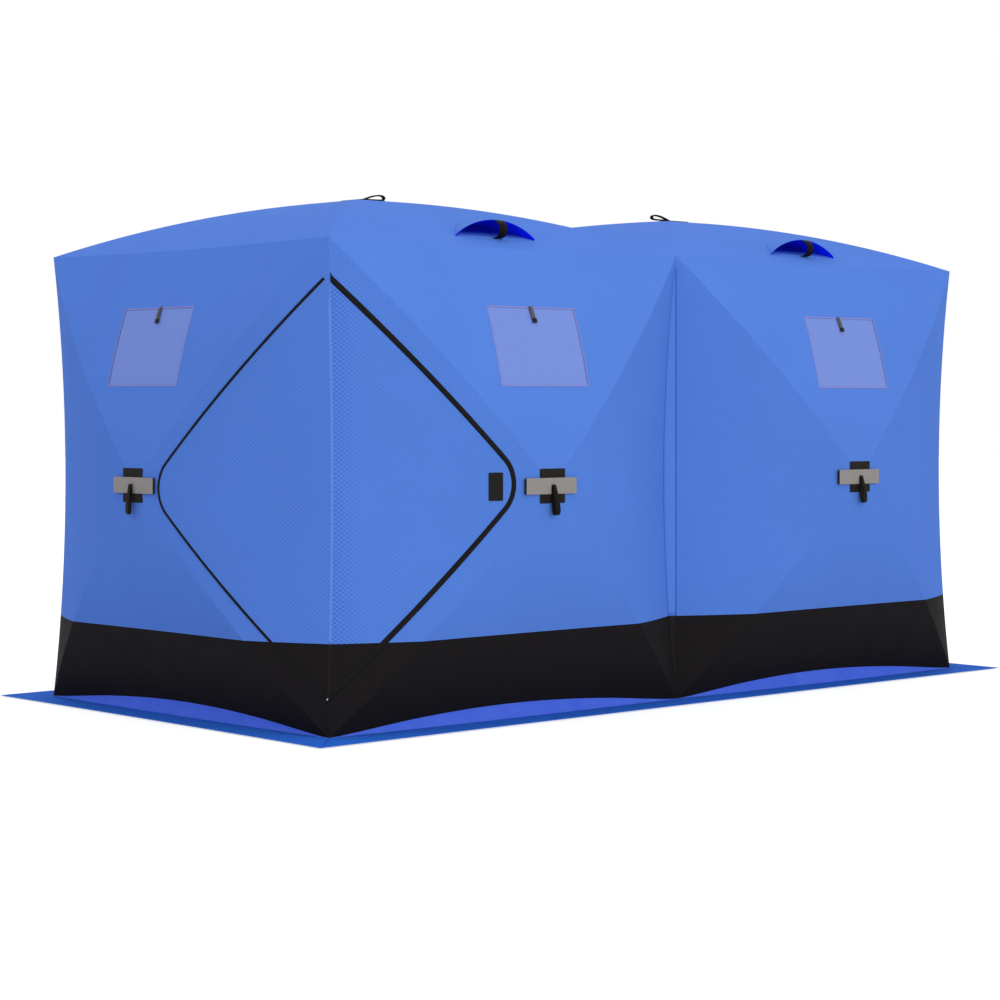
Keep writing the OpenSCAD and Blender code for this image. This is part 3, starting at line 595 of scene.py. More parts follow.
def bottom_grid(wall, part):
    """The bottom triangle, hem to hub. Its hem is arched, z = t hub + (4 s (1 - s))^1.35 (1 - t)^2 rise,
    and the band stops where z reaches the band's height, found by repeating the sum for t."""
    s = np.linspace(0, 1, 45)[None, :]
    lift = bulge(s) ** 1.35 * HEM_RISE
    edge = BAND_H / HUB_H * np.ones_like(s)
    for _ in range(30):
        edge = (BAND_H - lift * (1 - edge) ** 2) / HUB_H
    run = np.linspace(0, 1, 22)[:, None]
    t = edge * run if part == "band" else edge + (HUB_END - edge) * run
    w = wall.half + (2 * s - 1) * wall.half * (1 - t)
    z = t * HUB_H + lift * (1 - t) ** 2
    return wall.place(w, z, arched(t, WALL_OUT)), pairs(w, z)


# %% [markdown]
# Every wall becomes three pieces, as it is sewn: the top and bottom triangles, the side triangles,
# and the black base band.

# %% Three pieces for every wall
def wall_pieces(name, wall, turn):
    """Makes the three pieces of a wall, or of its twin on the other side."""
    place = turned if turn else list
    title = TWINS[name] if turn else name
    poles = ("end" if name == "left_end" else "back" if turn else "front") + "_poles"
    doors = {"front_left": (ZIP_SIDE, None), "left_end": (None, FOLD_SIDE)}.get(name, (None, None))
    upper = [side_grid(wall, k, BAND_H, WALL_H, doors[k]) for k in (0, 1)]
    lower = [side_grid(wall, k, 0, BAND_H, doors[k]) for k in (0, 1)]
    sew(title + "_centre_cloth", place([top_grid(wall), bottom_grid(wall, "cloth")]), smooth_blue,
        [title + "_centre_panels"], CLOTH, (1.9, 1.05), [poles, "hubs"], CREASE)
    sew(title + "_side_cloth", place(upper), quilted_blue,
        [title + "_side_panels"], CLOTH, (1.9, 1.0), [poles, "hubs"], CREASE)
    sew(title + "_band_cloth", place([bottom_grid(wall, "band")] + lower), quilted_black,
        [title + "_base_band"], CLOTH, (1.9, 0.36), [poles], CREASE)


for wall_name, wall_shape in WALLS.items():
    for other_side in (False, True):
        wall_pieces(wall_name, wall_shape, other_side)

# %% [markdown]
# ## Door flaps
# The flap is one piece of the same cloth, folded round the corner, with its lower tip in black. It
# is the part of the two side triangles that the outline cuts off.

# %% Door flaps and their black tips
def door_grids(low, high):
    """Both halves of the flap between two heights."""
    return [side_grid(wall, k, max(low, side["sill"]), min(high, side["top"]), side, "door")
            for wall, k, side in ((front_left, 0, ZIP_SIDE), (left_end, 1, FOLD_SIDE))]


for title, place in (("front", list), ("back", turned)):
    sew(title + "_door_cloth", place(door_grids(BAND_H, WALL_H)), door_blue_corner_shade,
        [title + "_door"], CLOTH, (1.62, 1.35), [title + "_poles"], CREASE)
sew("door_tip_cloth", both_ways(door_grids(0, BAND_H)), quilted_black,
    ["door_lower_tips"], CLOTH, (0.9, 0.25), ["front_poles", "back_poles"], CREASE)

# %% [markdown]
# ## Trim that follows the wall
# A zip, a piping or a strip is a profile carried along a line on the wall. The line is flat, in w and
# z, and the profile is a row of pairs: how far to the side, and how far off the cloth. The distance
# out is looked up on the curved wall at every point, so the trim never sinks in or floats.

# %% Carry a profile along a line on the cloth
def side_point(wall, side, a, z):
    """The place w and out of the side triangle at a distance from its edge and a height."""
    return side_at(wall, side, z, side_t(wall, side, a, z))


def sewn_on(wall, side, line, normal, profile):
    """A grid that carries a profile of (sideways, off the cloth) pairs along a line on a wall."""
    profile = np.array(profile)
    z = line[:, None, 1] + normal[:, None, 1] * profile[None, :, 0]
    edge = wall.bow[side][0] * bulge(z / WALL_H)
    a = np.maximum(line[:, None, 0] + normal[:, None, 0] * profile[None, :, 0], edge + 0.0004)
    out = side_point(wall, side, a, z)[1] + profile[None, :, 1]
    w = a if side == 0 else 2 * wall.half - a
    return wall.place(w, z, out), pairs(distances(line)[:, None], distances(profile)[None, :])


ZIP_PROFILE = [(-0.0093, 0.0), (-0.0088, 0.0018), (-0.0052, 0.0022), (-0.0038, 0.0036), (-0.002, 0.0042),
               (0.002, 0.0042), (0.0038, 0.0036), (0.0052, 0.0022), (0.0088, 0.0018), (0.0093, 0.0)]
PIPING_PROFILE = [(0.0048 * np.cos(q), 0.0004 + 0.0040 * np.sin(q)) for q in np.linspace(np.pi, 0, 9)]

zip_line, zip_normal = door_outline(ZIP_SIDE)
fold_line, fold_normal = door_outline(FOLD_SIDE, 0.028)
zips = both_ways([sewn_on(front_left, 0, zip_line, zip_normal, ZIP_PROFILE)])
sew("door_zip_tapes", zips, zip_tape, ["door_zips"], 0.0008)
pipings = both_ways([sewn_on(left_end, 1, fold_line, fold_normal, PIPING_PROFILE)])
sew("door_piping_cords", pipings, zip_tape, ["door_pipings"], 0.0008)
print("zip length", round(float(distances(zip_line)[-1]), 2), "m")

# %% [markdown]
# ## Roof
# The roof of a bay is the same figure laid flat: four slopes that rise to a hub. The eaves sag a
# little, and the seam over the middle of the shelter rises, because both roof frames pull it up.
# The two long slopes have an opening under their vent hood.

# %% Roof slopes
CORNERS = np.array([(-BAY, -HALF_DEPTH), (0, -HALF_DEPTH), (0, HALF_DEPTH), (-BAY, HALF_DEPTH)])
VENT_HALF = 0.090                          # half the width of a vent's opening
VENT_FIRST, VENT_LAST = 0.152, 0.215       # where it starts and ends, up from the eave


def roof_slope(k, t, s):
    """Slope k of the left bay: s along its edge and t to the hub. The height is the fold's arch plus
    the edge's own bow, 4 s (1 - s) (1 - t)^2 times its rise."""
    start, end = CORNERS[k], CORNERS[(k + 1) % 4]
    rise = SEAM_RISE if k == 1 else -EAVE_SAG
    x = (1 - t) * ((1 - s) * start[0] + s * end[0]) - t * HALF_BAY
    y = (1 - t) * ((1 - s) * start[1] + s * end[1])
    z = WALL_H + arched(t, ROOF_OUT) + bulge(s, t) * rise
    return np.stack(np.broadcast_arrays(x, y, z), -1)


def slope_grid(k):
    """A plain slope."""
    grid = roof_slope(k, np.linspace(0, HUB_END, 34)[:, None], np.linspace(0, 1, 46)[None, :])
    return grid, grid[..., 1::-1]


def vent_slope_grid(k):
    """A slope with the opening of its vent left open."""
    first, last = VENT_FIRST / HALF_DEPTH, VENT_LAST / HALF_DEPTH
    t = levels(0, HUB_END, first, last)[:, None]
    s = cut_columns(t, -VENT_HALF, VENT_HALF, HALF_BAY)
    grid = roof_slope(k, t, s)
    return grid, grid[..., :2], cloth_cells(t, s, first, last)


for title, place in (("left", list), ("right", turned)):
    for part, grids in (("vent", [vent_slope_grid(0), vent_slope_grid(2)]),
                        ("cross", [slope_grid(1), slope_grid(3)])):
        sew(f"roof_{title}_{part}_cloth", place(grids), smooth_blue,
            [f"roof_{title}_{part}_slopes"], CLOTH, (1.9, 1.1), ["roof_poles", "hubs"], CREASE)

# %% [markdown]
# ## Windows
# A window is a sheet of clear vinyl sewn behind the opening. It takes the wall's curve, so it is cut
# from the same triangle, only a little deeper and a little larger than the opening. A narrow welt
# covers the seam round it. The welt is a profile carried round a rounded rectangle.

# %% Window panes and welts
def rounded_rectangle(wide, high, radius, steps=7):
    """Points round a rectangle with round corners, anticlockwise, and their outward normals."""
    points, normals = [], []
    for k, (sx, sy) in enumerate(((1, 1), (-1, 1), (-1, -1), (1, -1))):
        q = np.linspace(0, np.pi / 2, steps) + k * np.pi / 2
        n = np.stack([np.cos(q), np.sin(q)], -1)
        centre = np.array([sx * (wide / 2 - radius), sy * (high / 2 - radius)])
        points.append(centre + radius * n)
        normals.append(n)
    points, normals = np.concatenate(points), np.concatenate(normals)
    return np.concatenate([points, points[:1]]), np.concatenate([normals, normals[:1]])


def spread_out(line, normal, step=0.02):
    """More points along a line, about a step apart, with the normals carried over."""
    run = distances(line)
    at = np.unique(np.concatenate([run, np.arange(0, run[-1], step)]))
    return (np.stack([np.interp(at, run, line[:, i]) for i in (0, 1)], -1),
            np.stack([np.interp(at, run, normal[:, i]) for i in (0, 1)], -1))


def top_out(wall, w, z):
    """How far the top triangle stands out at a point: t from the height, less the eave's sag."""
    s = np.full(np.broadcast(w, z).shape, 0.5)
    rise = WALL_H - HUB_H
    t = (WALL_H - z) / rise
    for _ in range(6):
        s = np.clip(((w - wall.half) / (wall.half * (1 - t)) + 1) / 2, 0, 1)
        t = (WALL_H - z - bulge(s, t) * EAVE_SAG) / rise
    return arched(t, WALL_OUT)


def pane_grid(wall, margin=0.010, depth=0.0015):
    """The pane: the surface behind the opening and a margin round it."""
    middle = WALL_H - WINDOW_DROP - WINDOW_H / 2
    w = wall.half + wall.shift + np.linspace(-1, 1, 24)[None, :] * (WINDOW_W / 2 + margin)
    z = middle + np.linspace(-1, 1, 20)[:, None] * (WINDOW_H / 2 + margin)
    return wall.place(w, z, top_out(wall, w, z) - depth), pairs(w, z)


def welt_grid(wall):
    """The welt: a low rounded profile round the opening's edge."""
    line, normal = spread_out(*rounded_rectangle(WINDOW_W, WINDOW_H, 0.004))
    q = np.linspace(np.pi, 0, 7)
    side, lift = 0.0016 * np.cos(q)[None, :], 0.0001 + 0.0007 * np.sin(q)[None, :]
    w = wall.half + wall.shift + line[:, :1] + normal[:, :1] * side
    z = WALL_H - WINDOW_DROP - WINDOW_H / 2 + line[:, 1:] + normal[:, 1:] * side
    return wall.place(w, z, top_out(wall, w, z) + lift)[::-1], pairs(w, z)[::-1]


front_panes = [pane_grid(front_left), pane_grid(front_right)]
for title, panes, walls in (("front", front_panes, ("front_left", "front_right")),
                            ("back", turned(front_panes), ("back_left", "back_right")),
                            ("end", both_ways([pane_grid(left_end)]), ("left_end", "right_end"))):
    sew(title + "_window_panes", panes, vinyl, [title + "_windows"], 0.0008,
        (1.0, 0.32), [name + "_centre_cloth" for name in walls])
# The welt is painted paler than the vinyl and the cloth: a painted highlight along the window's edge.
welt_painted_highlight_finish = plain_finish("welt_vinyl_painted_highlight", linear(150, 146, 204), linear(138, 136, 198), 300, 0.0002, 0.6,
                           specular=0.1)
welts = both_ways([welt_grid(wall) for wall in (front_left, front_right, left_end)])
sew("window_welts", welts, welt_painted_highlight_finish, thickness=0.0006)

# %% [markdown]
# ## Webbing
# Straps, loops, ties and props are all webbing: a flat section with rounded edges carried along a
# smooth path. The section is a stretched circle, sign(cos) |cos|^0.35 wide and sin thick. The path
# is smoothed with a Catmull-Rom curve through a few points, and the way across it may turn.

# %% Webbing along a path
def smooth_path(points, count=40):
    """A Catmull-Rom curve: between two points it is a cubic of them and their two neighbours."""
    p = np.array(points, float)
    p = np.concatenate([2 * p[:1] - p[1:2], p, 2 * p[-1:] - p[-2:-1]])
    u = np.linspace(0, len(p) - 3 - 1e-9, count)
    i, f = u.astype(int), (u % 1)[:, None]
    a, b, c, d = p[i], p[i + 1], p[i + 2], p[i + 3]
    square, cube = 2 * a - 5 * b + 4 * c - d, 3 * b - a - 3 * c + d
    return 0.5 * (2 * b + (c - a) * f + square * f ** 2 + cube * f ** 3)


def webbing_grid(path, across, width, thick, around=18):
    """A flat rounded section carried along a path, closed at both ends. across is the way of its
    width, and width may be one number or one for each point."""
    path = np.array(path, float)
    along = np.gradient(path, axis=0)
    along /= np.linalg.norm(along, axis=1, keepdims=True)
    across = np.broadcast_to(np.array(across, float), path.shape)
    across = across - (across * along).sum(1, keepdims=True) * along
    across = across / np.linalg.norm(across, axis=1, keepdims=True)
    up = np.cross(along, across)
    q = np.linspace(0, 2 * np.pi, around + 1)
    half = np.broadcast_to(width, len(path))[:, None] / 2
    wide = half * (np.sign(np.cos(q)) * np.abs(np.cos(q)) ** 0.35)[None, :]
    high = (thick / 2 * np.sign(np.sin(q)) * np.abs(np.sin(q)) ** 0.8)[None, :] * np.ones_like(half)
    grid = path[:, None] + wide[..., None] * across[:, None] + high[..., None] * up[:, None]
    caps = [np.repeat(end[:, None], around + 1, 1) for end in (path[:1], path[-1:])]
    grid = np.concatenate([caps[0], grid, caps[1]])
    run = distances(path)
    run = np.concatenate([run[:1], run, run[-1:]])[:, None]
    wide = np.concatenate([wide[:1] * 0, wide, wide[:1] * 0])
    return grid, pairs(wide, run)


# %% [markdown]
# ## Patches, strips and tabs
# Flat sewn-on parts are plates with rounded edges: rings of a rounded rectangle run from the middle
# of the back, round the edge, to the middle of the front. A last function lays each ring's points
# where the plate belongs, so the same plate can lie flat or follow the cloth round a hub.

# %% A plate with rounded edges
def plate_grid(wide, high, thick, radius, lay, lift):
    """Rings of a plate, each (share of the size, inset, height), laid in place by lay(x, y, height)."""
    edge = min(0.0012, thick * 0.45)
    rings = [(k, 0, 0) for k in (0, 0.3, 0.6, 0.85)] + [(1, edge, 0), (1, 0, edge)]
    rings += [(1, 0, thick - edge), (1, edge * 0.3, thick - edge * 0.3), (1, edge, thick)]
    rings += [(k, 0, thick) for k in (0.85, 0.6, 0.3, 0)]
    rows, uvs = [], []
    line, normal = rounded_rectangle(wide, high, radius)
    line, _ = spread_out(line, normal, max(wide, high) / 10)
    for share, inset, height in rings:
        scale = share * np.array([1 - 2 * inset / wide, 1 - 2 * inset / high])
        flat = line * scale
        rows.append(lay(flat[:, 0], flat[:, 1], height + lift))
        uvs.append(flat)
    return np.stack(rows), np.stack(uvs)


def skin_t(x, y, half):
    """The t of the cloth at a place beside a hub, not past the edge of the hub's hole."""
    return 1 - np.maximum(np.maximum(np.abs(x), np.abs(y)) / half, 1 - HUB_END)


def hub_place(wall, follow, aside=0.0):
    """Lays plate points round a wall's hub: flat, or following the four triangles away from it. The
    plate may sit aside, towards the door."""
    def lay(x, y, height):
        """A plate point on the wall."""
        x = x + aside * wall.door_side + wall.patch
        skin = arched(skin_t(x, y, wall.half) if follow else HUB_END, WALL_OUT)
        return wall.place(wall.half + x, HUB_H + y, skin + height)
    return lay


def roof_hub_place(x, y, height):
    """Lays plate points round the left roof hub, following the slopes."""
    return np.stack([x - HALF_BAY, y, WALL_H + arched(skin_t(x, y, HALF_BAY), ROOF_OUT) + height], -1)


PATCH, STRIP_L, STRIP_H = 0.130, 0.2585, 0.060    # side of a hub's patch, length and height of its strip
STRIP_ASIDE, BACKING_ASIDE = 0.0078, 0.0105       # the strip and its backing sit towards the door
BACKING_EXTRA = 0.003                             # the backing is longer than the strip
wall_hubs = list(WALLS.values())
patches = [plate_grid(PATCH, PATCH, 0.0022, 0.003, hub_place(w, True), 0.0004) for w in wall_hubs]
patches.append(plate_grid(PATCH, PATCH, 0.0022, 0.003, roof_hub_place, 0.0009))
sew("hub_patch_cloths", both_ways(patches), patch_cloth, ["hub_patches"])
backs = [plate_grid(STRIP_L + BACKING_EXTRA, STRIP_H, 0.0060, 0.002,
                    hub_place(w, False, BACKING_ASIDE), -0.0022) for w in wall_hubs]
sew("strip_backings", both_ways(backs), patch_cloth)
faces = [plate_grid(STRIP_L, STRIP_H + 0.001, 0.0010, 0.002,
                    hub_place(w, False, STRIP_ASIDE), 0.0037) for w in wall_hubs]
sew("reflective_tapes", both_ways(faces), tape_grey, ["reflective_strips"])

# %% [markdown]
# The pull strap comes out of a slot in the strip, hangs down as a flattened loop and turns a little
# as it hangs. The roof loops are the same webbing on edge: seen from the side they are a thin line
# that curls over and grows wide where the webbing turns.

# %% Pull straps and roof loops
def pull_strap(wall, turn, opened):
    """A loop of webbing that hangs at a hub, with its lower end turned by an angle in degrees, and
    its two layers held apart more or less."""
    base = arched(HUB_END, WALL_OUT) + 0.003
    route = smooth_path([(0, 0.003, -0.002), (0, 0.002, 0.005), (0, -0.014, 0.010), (0, -0.045, 0.019),
                         (0, -0.082, 0.026), (0, -0.100, 0.025), (0, -0.108, 0.018), (0, -0.103, 0.011),
                         (0, -0.075, 0.008), (0, -0.034, 0.005), (0, -0.004, 0.0025)], 60)
    low = np.clip((0.012 - route[:, 1]) / 0.12, 0, 1)
    angle = np.radians(turn) * low
    pivot = 0.014
    aside = (route[:, 2] - pivot) * np.sin(angle)
    out = pivot + (route[:, 2] - pivot) * opened * np.cos(angle)
    path = wall.place(wall.half + wall.patch + aside, HUB_H + route[:, 1], base + out)
    across = np.cos(angle)[:, None] * wall.along - np.sin(angle)[:, None] * wall.outward
    return webbing_grid(path, across, 0.0185 + 0.0095 * low ** 0.7, 0.0042)


straps = [pull_strap(front_left, 4, 1.0), pull_strap(front_right, 6, 1.0), pull_strap(left_end, -8, 0.6)]
sew("pull_strap_loops", both_ways(straps), webbing, ["pull_straps"])


def roof_loop():
    """A loop of webbing on edge over the left roof hub, leaning towards the middle of the shelter."""
    base = WALL_H + arched(HUB_END, ROOF_OUT) + 0.0036
    route = [(-0.004, 0.0010), (0.012, 0.0060), (0.036, 0.0140), (0.064, 0.0205), (0.090, 0.0225),
             (0.106, 0.0185), (0.110, 0.0110), (0.100, 0.0050), (0.078, 0.0035), (0.045, 0.0030),
             (0.014, 0.0026)]
    flat = smooth_path([(x - HALF_BAY, 0, base + z) for x, z in route], 60)
    return webbing_grid(flat, (0, 1, 0), 0.019, 0.0062)


sew("roof_loop_webbing", both_ways([roof_loop()]), webbing, ["roof_loops"])

# %% [markdown]
# ## Window ties, door tabs and zip pulls
# Small things, but the eye looks for them: the tie that holds a rolled window cover, the tab that
# keeps the open door back, and the zip's slider with its tag.

# %% Ties, tabs and sliders
def hanging(wall, high, low, count, lift, sag, lean, width, thick):
    """Webbing that hangs over the window's top edge, from a height above it to one below, a lift and
    a sag off the cloth, and leaning aside from one distance to another."""
    top = WALL_H - WINDOW_DROP
    z, run = np.linspace(top + high, top + low, count), np.linspace(0, 1, count)
    out = top_out(wall, np.full(count, wall.half), z) + lift + sag * np.sin(np.pi * run)
    w = wall.half + wall.shift / 2 + lean[0] + (lean[1] - lean[0]) * run ** 2
    return webbing_grid(wall.place(w, z, out), wall.along, width, thick)


ties = [hanging(wall, 0.004, -0.052, 16, 0.0030, 0.003, (0, 0.004), 0.018, 0.0022) for wall in wall_hubs]
toggles = [hanging(wall, -0.042, -0.058, 8, 0.0062, 0, (0.004, 0.004), 0.021, 0.007) for wall in wall_hubs]
tie_grey = woven("tie_grey", linear(98, 97, 92), linear(66, 66, 62), 0.0030, 0.0005, 0.6)
sew("window_tie_webbing", both_ways(ties), tie_grey, ["window_ties"])
sew("window_toggles", both_ways(toggles), moulding)


def on_side(wall, side, a0, z0):
    """Lays plate points on a side triangle, about a point at a distance from its edge."""
    def lay(x, y, height):
        """A plate point on the triangle."""
        out = side_point(wall, side, a0 + x, z0 + y)[1] + height
        w = a0 + x if side == 0 else 2 * wall.half - a0 - x
        return wall.place(w, z0 + y, out)
    return lay


TAB_A, TAB_W, TAB_H = 0.6355, 0.061, 0.104    # the tab's distance from the corner, width and height
tab = plate_grid(TAB_W, TAB_H, 0.0028, 0.003, on_side(front_left, 0, TAB_A, HUB_H + 0.002), 0.0004)
sew("door_tab_pads", both_ways([tab]), patch_cloth, ["door_tabs"])
slider = plate_grid(0.010, 0.015, 0.0035, 0.004, on_side(left_end, 1, 0.014, 0.145), 0.0006)
rivet = plate_grid(0.0045, 0.007, 0.0012, 0.002, on_side(left_end, 1, 0.014, 0.140), 0.0042)
slider, rivet = ([tuple(g[::-1] for g in part)] for part in (slider, rivet))
sew("zip_sliders", both_ways(slider), moulding, ["zip_pulls"])
sew("zip_slider_rivets", both_ways(rivet), bright)

# %% [markdown]
# ## Vents
# A vent is a half-moon hood of the roof cloth. Its rim is held up by a bowed prop, and its arch
# fades to nothing at the back: height = rise * arc * (1 - v)^1.6, with arc = bell^0.85 and
# bell = 4 u (1 - u) across the rim. The back is drawn in towards its ends, depth * bell^1.5. The
# inside shows its deeper blue back face, and a netting lies over the opening below it. The back
# face and the netting glow faintly, a painted glow, and the netting is painted darker the further
# it lies under the hood, a painted shade.

# %% Hoods, netting and props
VENT_Y = -HALF_DEPTH + 0.100                        # the line of the hood's rim
VENT_W, VENT_RISE, VENT_DEPTH = 0.420, 0.072, 0.180    # the hood's width, height and depth


def roof_z(x, y):
    """Height of the front slope of the left bay's roof over a point."""
    t = (y + HALF_DEPTH) / HALF_DEPTH
    s = ((x + HALF_BAY * t) / (1 - t) + BAY) / BAY
    return WALL_H + arched(t, ROOF_OUT) - bulge(s, t) * EAVE_SAG


def hood_grid(lift):
    """The hood: u across the rim, v from the rim to the back, where it is sewn flush to the roof."""
    u, v = np.linspace(0.008, 0.992, 64)[None, :], np.linspace(0, 1, 18)[:, None]
    bell = bulge(u)
    x, y = -HALF_BAY + VENT_W * (u - 0.5) + 0 * v, VENT_Y + v * VENT_DEPTH * bell ** 1.5
    z = roof_z(x, y) - 0.0003 + (lift + 0.0010) * (1 - v ** 3) + VENT_RISE * bell ** 0.85 * (1 - v) ** 1.6
    return np.stack([x, y, z], -1), pairs(x, y)


def every_vent(grids):
    """The left front vent's grids, its neighbour's on the other bay, and both half-turn twins."""
    right = [(g[0] + np.array([BAY, 0, 0]), *g[1:]) for g in grids]
    return both_ways(grids + right)


hood_finish = [smooth_blue, hood_inside_painted_glow]
sew("vent_hood_cloth", every_vent([hood_grid(0.0017)]), hood_finish, ["vent_hoods"], 0.0016,
    (0.88, 0.62), ["roof_left_vent_cloth", "roof_right_vent_cloth", "vent_prop_straps"])


def net_grid():
    """The netting: flat on the roof from the rim's line to the hood's back. Its own coordinates give
    the distance from the rim, by which its painted shade deepens."""
    u, v = np.linspace(0.03, 0.97, 48)[None, :], np.linspace(0, 1, 14)[:, None]
    x, y = -HALF_BAY + VENT_W * (u - 0.5) + 0 * v, VENT_Y + 0.96 * v * VENT_DEPTH * bulge(u) ** 1.5
    return np.stack([x, y, roof_z(x, y) + 0.0006], -1), pairs(x, y - VENT_Y)


def netting_painted_shade_finish():
    """Blue netting, painted darker the further it lies under the hood: a painted shade, with a painted glow
    that grows as it darkens.
    """
    f = Nodes(bpy.data.materials.new("netting"))
    uv = f.add("UVMap", uv_map="cloth").outputs[0]
    away = f.add("SeparateXYZ", {0: uv}).outputs[1]
    # depth runs from the rim in under the hood; by it the colour is painted darker, a painted shade, and the
    # painted glow grows.
    depth = f.ramp(away, 0.0, 0.075, interpolation_type="SMOOTHSTEP")
    grain = f.noise(uv, 700.0)
    tone = f.blend(depth, BLUE, f.blend(grain, linear(2, 8, 108), linear(6, 16, 150)))
    shader = f.surface(tone, 0.8, 0.03, 0.4, 0.0004, grain)
    f.tree.links.new(f.blend(depth, (0, 0, 0, 1), hood_painted_glow), shader.inputs["Emission Color"])
    shader.inputs["Emission Strength"].default_value = 1.0
    return f.end(shader)


sew("vent_netting", every_vent([net_grid()]), netting_painted_shade_finish(), (), 0.0004,
    (0.88, 0.40), ["roof_left_vent_cloth", "roof_right_vent_cloth"])


def prop_grid():
    """A bowed strap from the roof to the middle of the hood's rim."""
    low = roof_z(-HALF_BAY, VENT_Y) + 0.0022
    high = low + VENT_RISE - 0.003
    q = np.linspace(0.06, 1.07, 36) * np.pi
    y = VENT_Y + 0.002 - 0.040 * np.sin(q)
    z = (low + high) / 2 + (high - low) / 2 * np.cos(q)
    x = -HALF_BAY + 0.0075 - 0.0025 * np.cos(q)
    return webbing_grid(np.stack([x, y, z], -1), (1, 0, 0), 0.042, 0.0030)


sew("vent_prop_straps", every_vent([prop_grid()]), webbing, ["vent_props"])

# %% [markdown]
# ## Snow skirt
# A strip of thin nylon is sewn to the arched hem. It drops to the ground, creases, and lies flat
# with snow shovelled on it. The crease bows out a little in the middle of each bay. The flat part
# gets low ripples, which fade towards the crease and the outer edge, and it is widest at the door.

# %% Skirts
SKIRT_W, SKIRT_Z = 0.160, 0.0024    # width of the flat part, and its height off the ground
CREASE_OUT = 0.020                  # how far the crease bows out in the middle of a bay
DOOR_EXTRA = 0.030                  # how much wider the flat part gets towards the door
RIPPLE = 0.0011                     # half the height of its ripples


def skirt_grids(bays, length, offset, spin, door_end):
    """The rising and the flat part of a skirt along some bays, turned to its side of the shelter."""
    u = np.linspace(0, 1, 72 * bays + 1)[:, None]
    f = (u * bays) % 1
    f = np.where(u == 1, 1.0, f)
    bell = bulge(f)
    rise = HEM_RISE * bell ** 1.35
    inner = 0.004 * (1 - bell) - 0.001 * bell
    fold = inner + 0.003 + CREASE_OUT * bell
    turn = np.array([[np.cos(spin), np.sin(spin)], [-np.sin(spin), np.cos(spin)]])

    def place(d, z):
        """Points at a distance d out from the hem's line, at a height z."""
        flat = np.stack([(2 * u - 1) * (length / 2 + d), -offset - d], -1) @ turn
        upright = np.broadcast_to(z, d.shape)[..., None]
        return np.concatenate([flat, upright], -1), pairs((2 * u - 1) * length / 2, d)

    v = np.linspace(0, 1, 8)[None, :]
    up = np.maximum(rise + 0.004, SKIRT_Z + 0.0004)
    d = inner + (fold - inner) * v ** 1.4 - 0.004 * bell * np.sin(np.pi * v)
    rising = place(d, up + (SKIRT_Z - up) * v)
    v = np.linspace(0, 1, 14)[None, :]
    far = np.abs(u - door_end)
    wide = SKIRT_W + DOOR_EXTRA * (1 - far) ** 2 - 0.005 * far
    d = fold + (wide - fold) * v
    ripple = np.sin(27 * u * bays + 5 * v) * np.sin(61 * u * bays + 2) * np.sin(np.pi * v) ** 2
    edge = 0.0012 * (v > 0.9)
    flat = place(d, SKIRT_Z + RIPPLE * (1 + ripple) * np.sin(np.pi * v) + edge)
    return [tuple(g[::-1] for g in rising)], [tuple(g[::-1] for g in flat)]


SKIRTS = {"front": (2, 2 * BAY, HALF_DEPTH, 0.0, 0), "left": (1, 2 * HALF_DEPTH, BAY, -np.pi / 2, 1)}
for title, twin in (("front", "back"), ("left", "right")):
    rising, flat = skirt_grids(*SKIRTS[title])
    for name, place in ((title, list), (twin, turned)):
        bays, length = SKIRTS[title][:2]
        sew(name + "_skirt_cloth", place(flat), skirt_cloth, [name + "_skirt"], 0.0016,
            (length + 2 * SKIRT_W, SKIRT_W), [name + "_skirt_rise_painted_light"])
        sew(name + "_skirt_rise_painted_light", place(rising), skirt_rise_painted_light, (), 0.0014,
            (length, 0.066), [name + "_skirt_cloth"])

# %% [markdown]
# ## Corner facing and the valley seam
# The door's flap is stiffened with a narrow strip of the same cloth down its corner, painted lighter
# than the cloth as a painted highlight. Between the bays the cloth is pulled in, and a lens-shaped
# facing strip is sewn along the valley, painted a little lighter as a painted highlight.

# %% Facing on the door's corner
CORNER_W = 0.0115    # width of the strip down the door's corner
VALLEY_W = 0.0456    # width of the facing strip in the middle of the valley


def corner_facing(low, high):
    """A strip along the door's corner, on the end wall: v runs across it, it is a little crowned, and it
    narrows towards its top."""
    z, v = np.linspace(low, high, 80)[:, None], np.linspace(0, 1, 7)[None, :]
    width = CORNER_W * np.clip((ZIP_SIDE["top"] - z) / 0.12, 0.15, 1)
    a = DOOR_END[0] * bulge(z / WALL_H) + width * v
    w, out = side_point(left_end, 1, a, z)
    grid = left_end.place(w, z, out + 0.0003 + 0.0016 * np.sin(np.pi * v))
    return grid[:, ::-1], pairs(a, z)[:, ::-1]


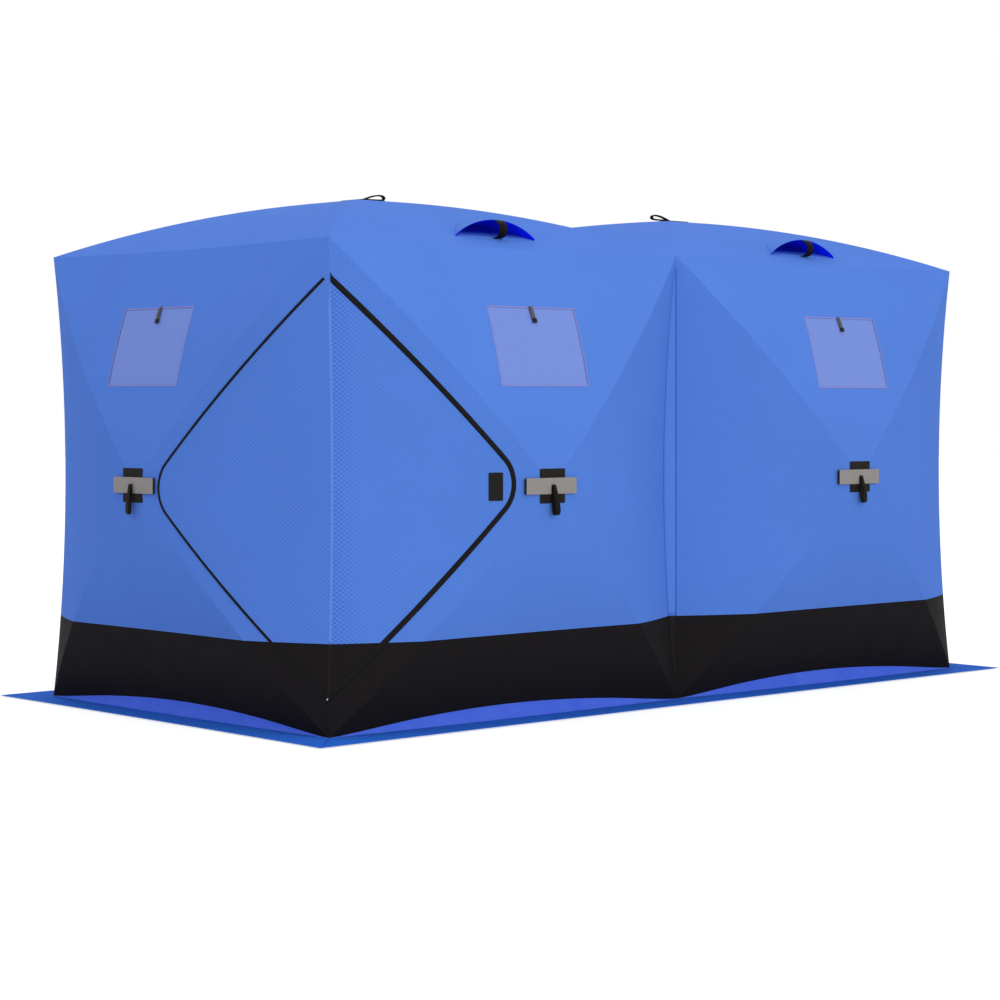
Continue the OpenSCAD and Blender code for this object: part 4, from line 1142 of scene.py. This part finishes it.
# The facing strips are painted lighter than the cloth they lie on: painted highlights, in blue and in black.
edge_blue_painted_highlight = padded_cloth("edge_blue_painted_highlight", linear(96, 140, 223), linear(80, 120, 214), 0.15)
edge_black_painted_highlight = padded_cloth("edge_black_painted_highlight", linear(35, 32, 33), linear(24, 22, 23), 0.15)
strips = both_ways([corner_facing(BAND_H, ZIP_SIDE["top"])])
sew("corner_facings", strips, edge_blue_painted_highlight, (), 0.0010,
    (1.45, 0.027), ["front_door_cloth", "back_door_cloth"])
strips = both_ways([corner_facing(ZIP_SIDE["sill"], BAND_H)])
sew("corner_facings_low", strips, edge_black_painted_highlight, (), 0.0010, (0.26, 0.030), ["door_tip_cloth"])


# %% Facing strip and seam in the valley
def valley_width(z):
    """Width of the facing strip at a height: widest in the middle, 4 s (1 - s)."""
    return VALLEY_W * bulge(z / WALL_H)


def facing_grid(low, high):
    """The facing strip on the right bay's side of the valley."""
    z, v = np.linspace(low, high, 70)[:, None], np.linspace(0, 1, 8)[None, :]
    w, out = side_point(front_right, 0, valley_width(z) * v, z)
    return front_right.place(w, z, out + 0.0010), pairs(w, z)


def valley_seam(low, high, width):
    """A thin cord of thread along the outer edge of the facing strip."""
    z = np.linspace(low, high, 70)
    w, out = side_point(front_right, 0, valley_width(z), z)
    return webbing_grid(front_right.place(w, z, out + 0.0012), (1, 0, 0), width, 0.0012, 10)


# The valley's facing strip is painted a little lighter than the wall: a painted highlight.
facing_blue_painted_highlight = padded_cloth("facing_blue_painted_highlight", linear(89, 133, 219), linear(76, 116, 210), 0.2)
strips = both_ways([facing_grid(BAND_H, WALL_H - 0.01)])
sew("valley_facings", strips, facing_blue_painted_highlight, (), 0.0012,
    (1.6, 0.092), ["front_right_side_cloth", "back_left_side_cloth"])
strips = both_ways([facing_grid(0.01, BAND_H)])
sew("valley_facings_low", strips, edge_black_painted_highlight, (), 0.0012,
    (0.36, 0.06), ["front_right_band_cloth", "back_left_band_cloth"])
seams = both_ways([valley_seam(BAND_H, WALL_H - 0.05, 0.0028)])
sew("valley_seams", seams, thread_blue)
seams = both_ways([valley_seam(0.02, BAND_H, 0.0022)])
sew("valley_seams_low", seams, zip_tape)

# %% [markdown]
# ## Frame
# The poles and hubs keep the shapes of their CAD parts. They only get finishes.

# %% Finishes for the carried-over parts
for node, material in (("front_poles", rod), ("back_poles", rod), ("end_poles", rod), ("roof_poles", rod),
                       ("hubs", moulding)):
    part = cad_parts[node]
    part.data.materials.clear()
    part.data.materials.append(material)
print("pieces made:", len(pieces_made))
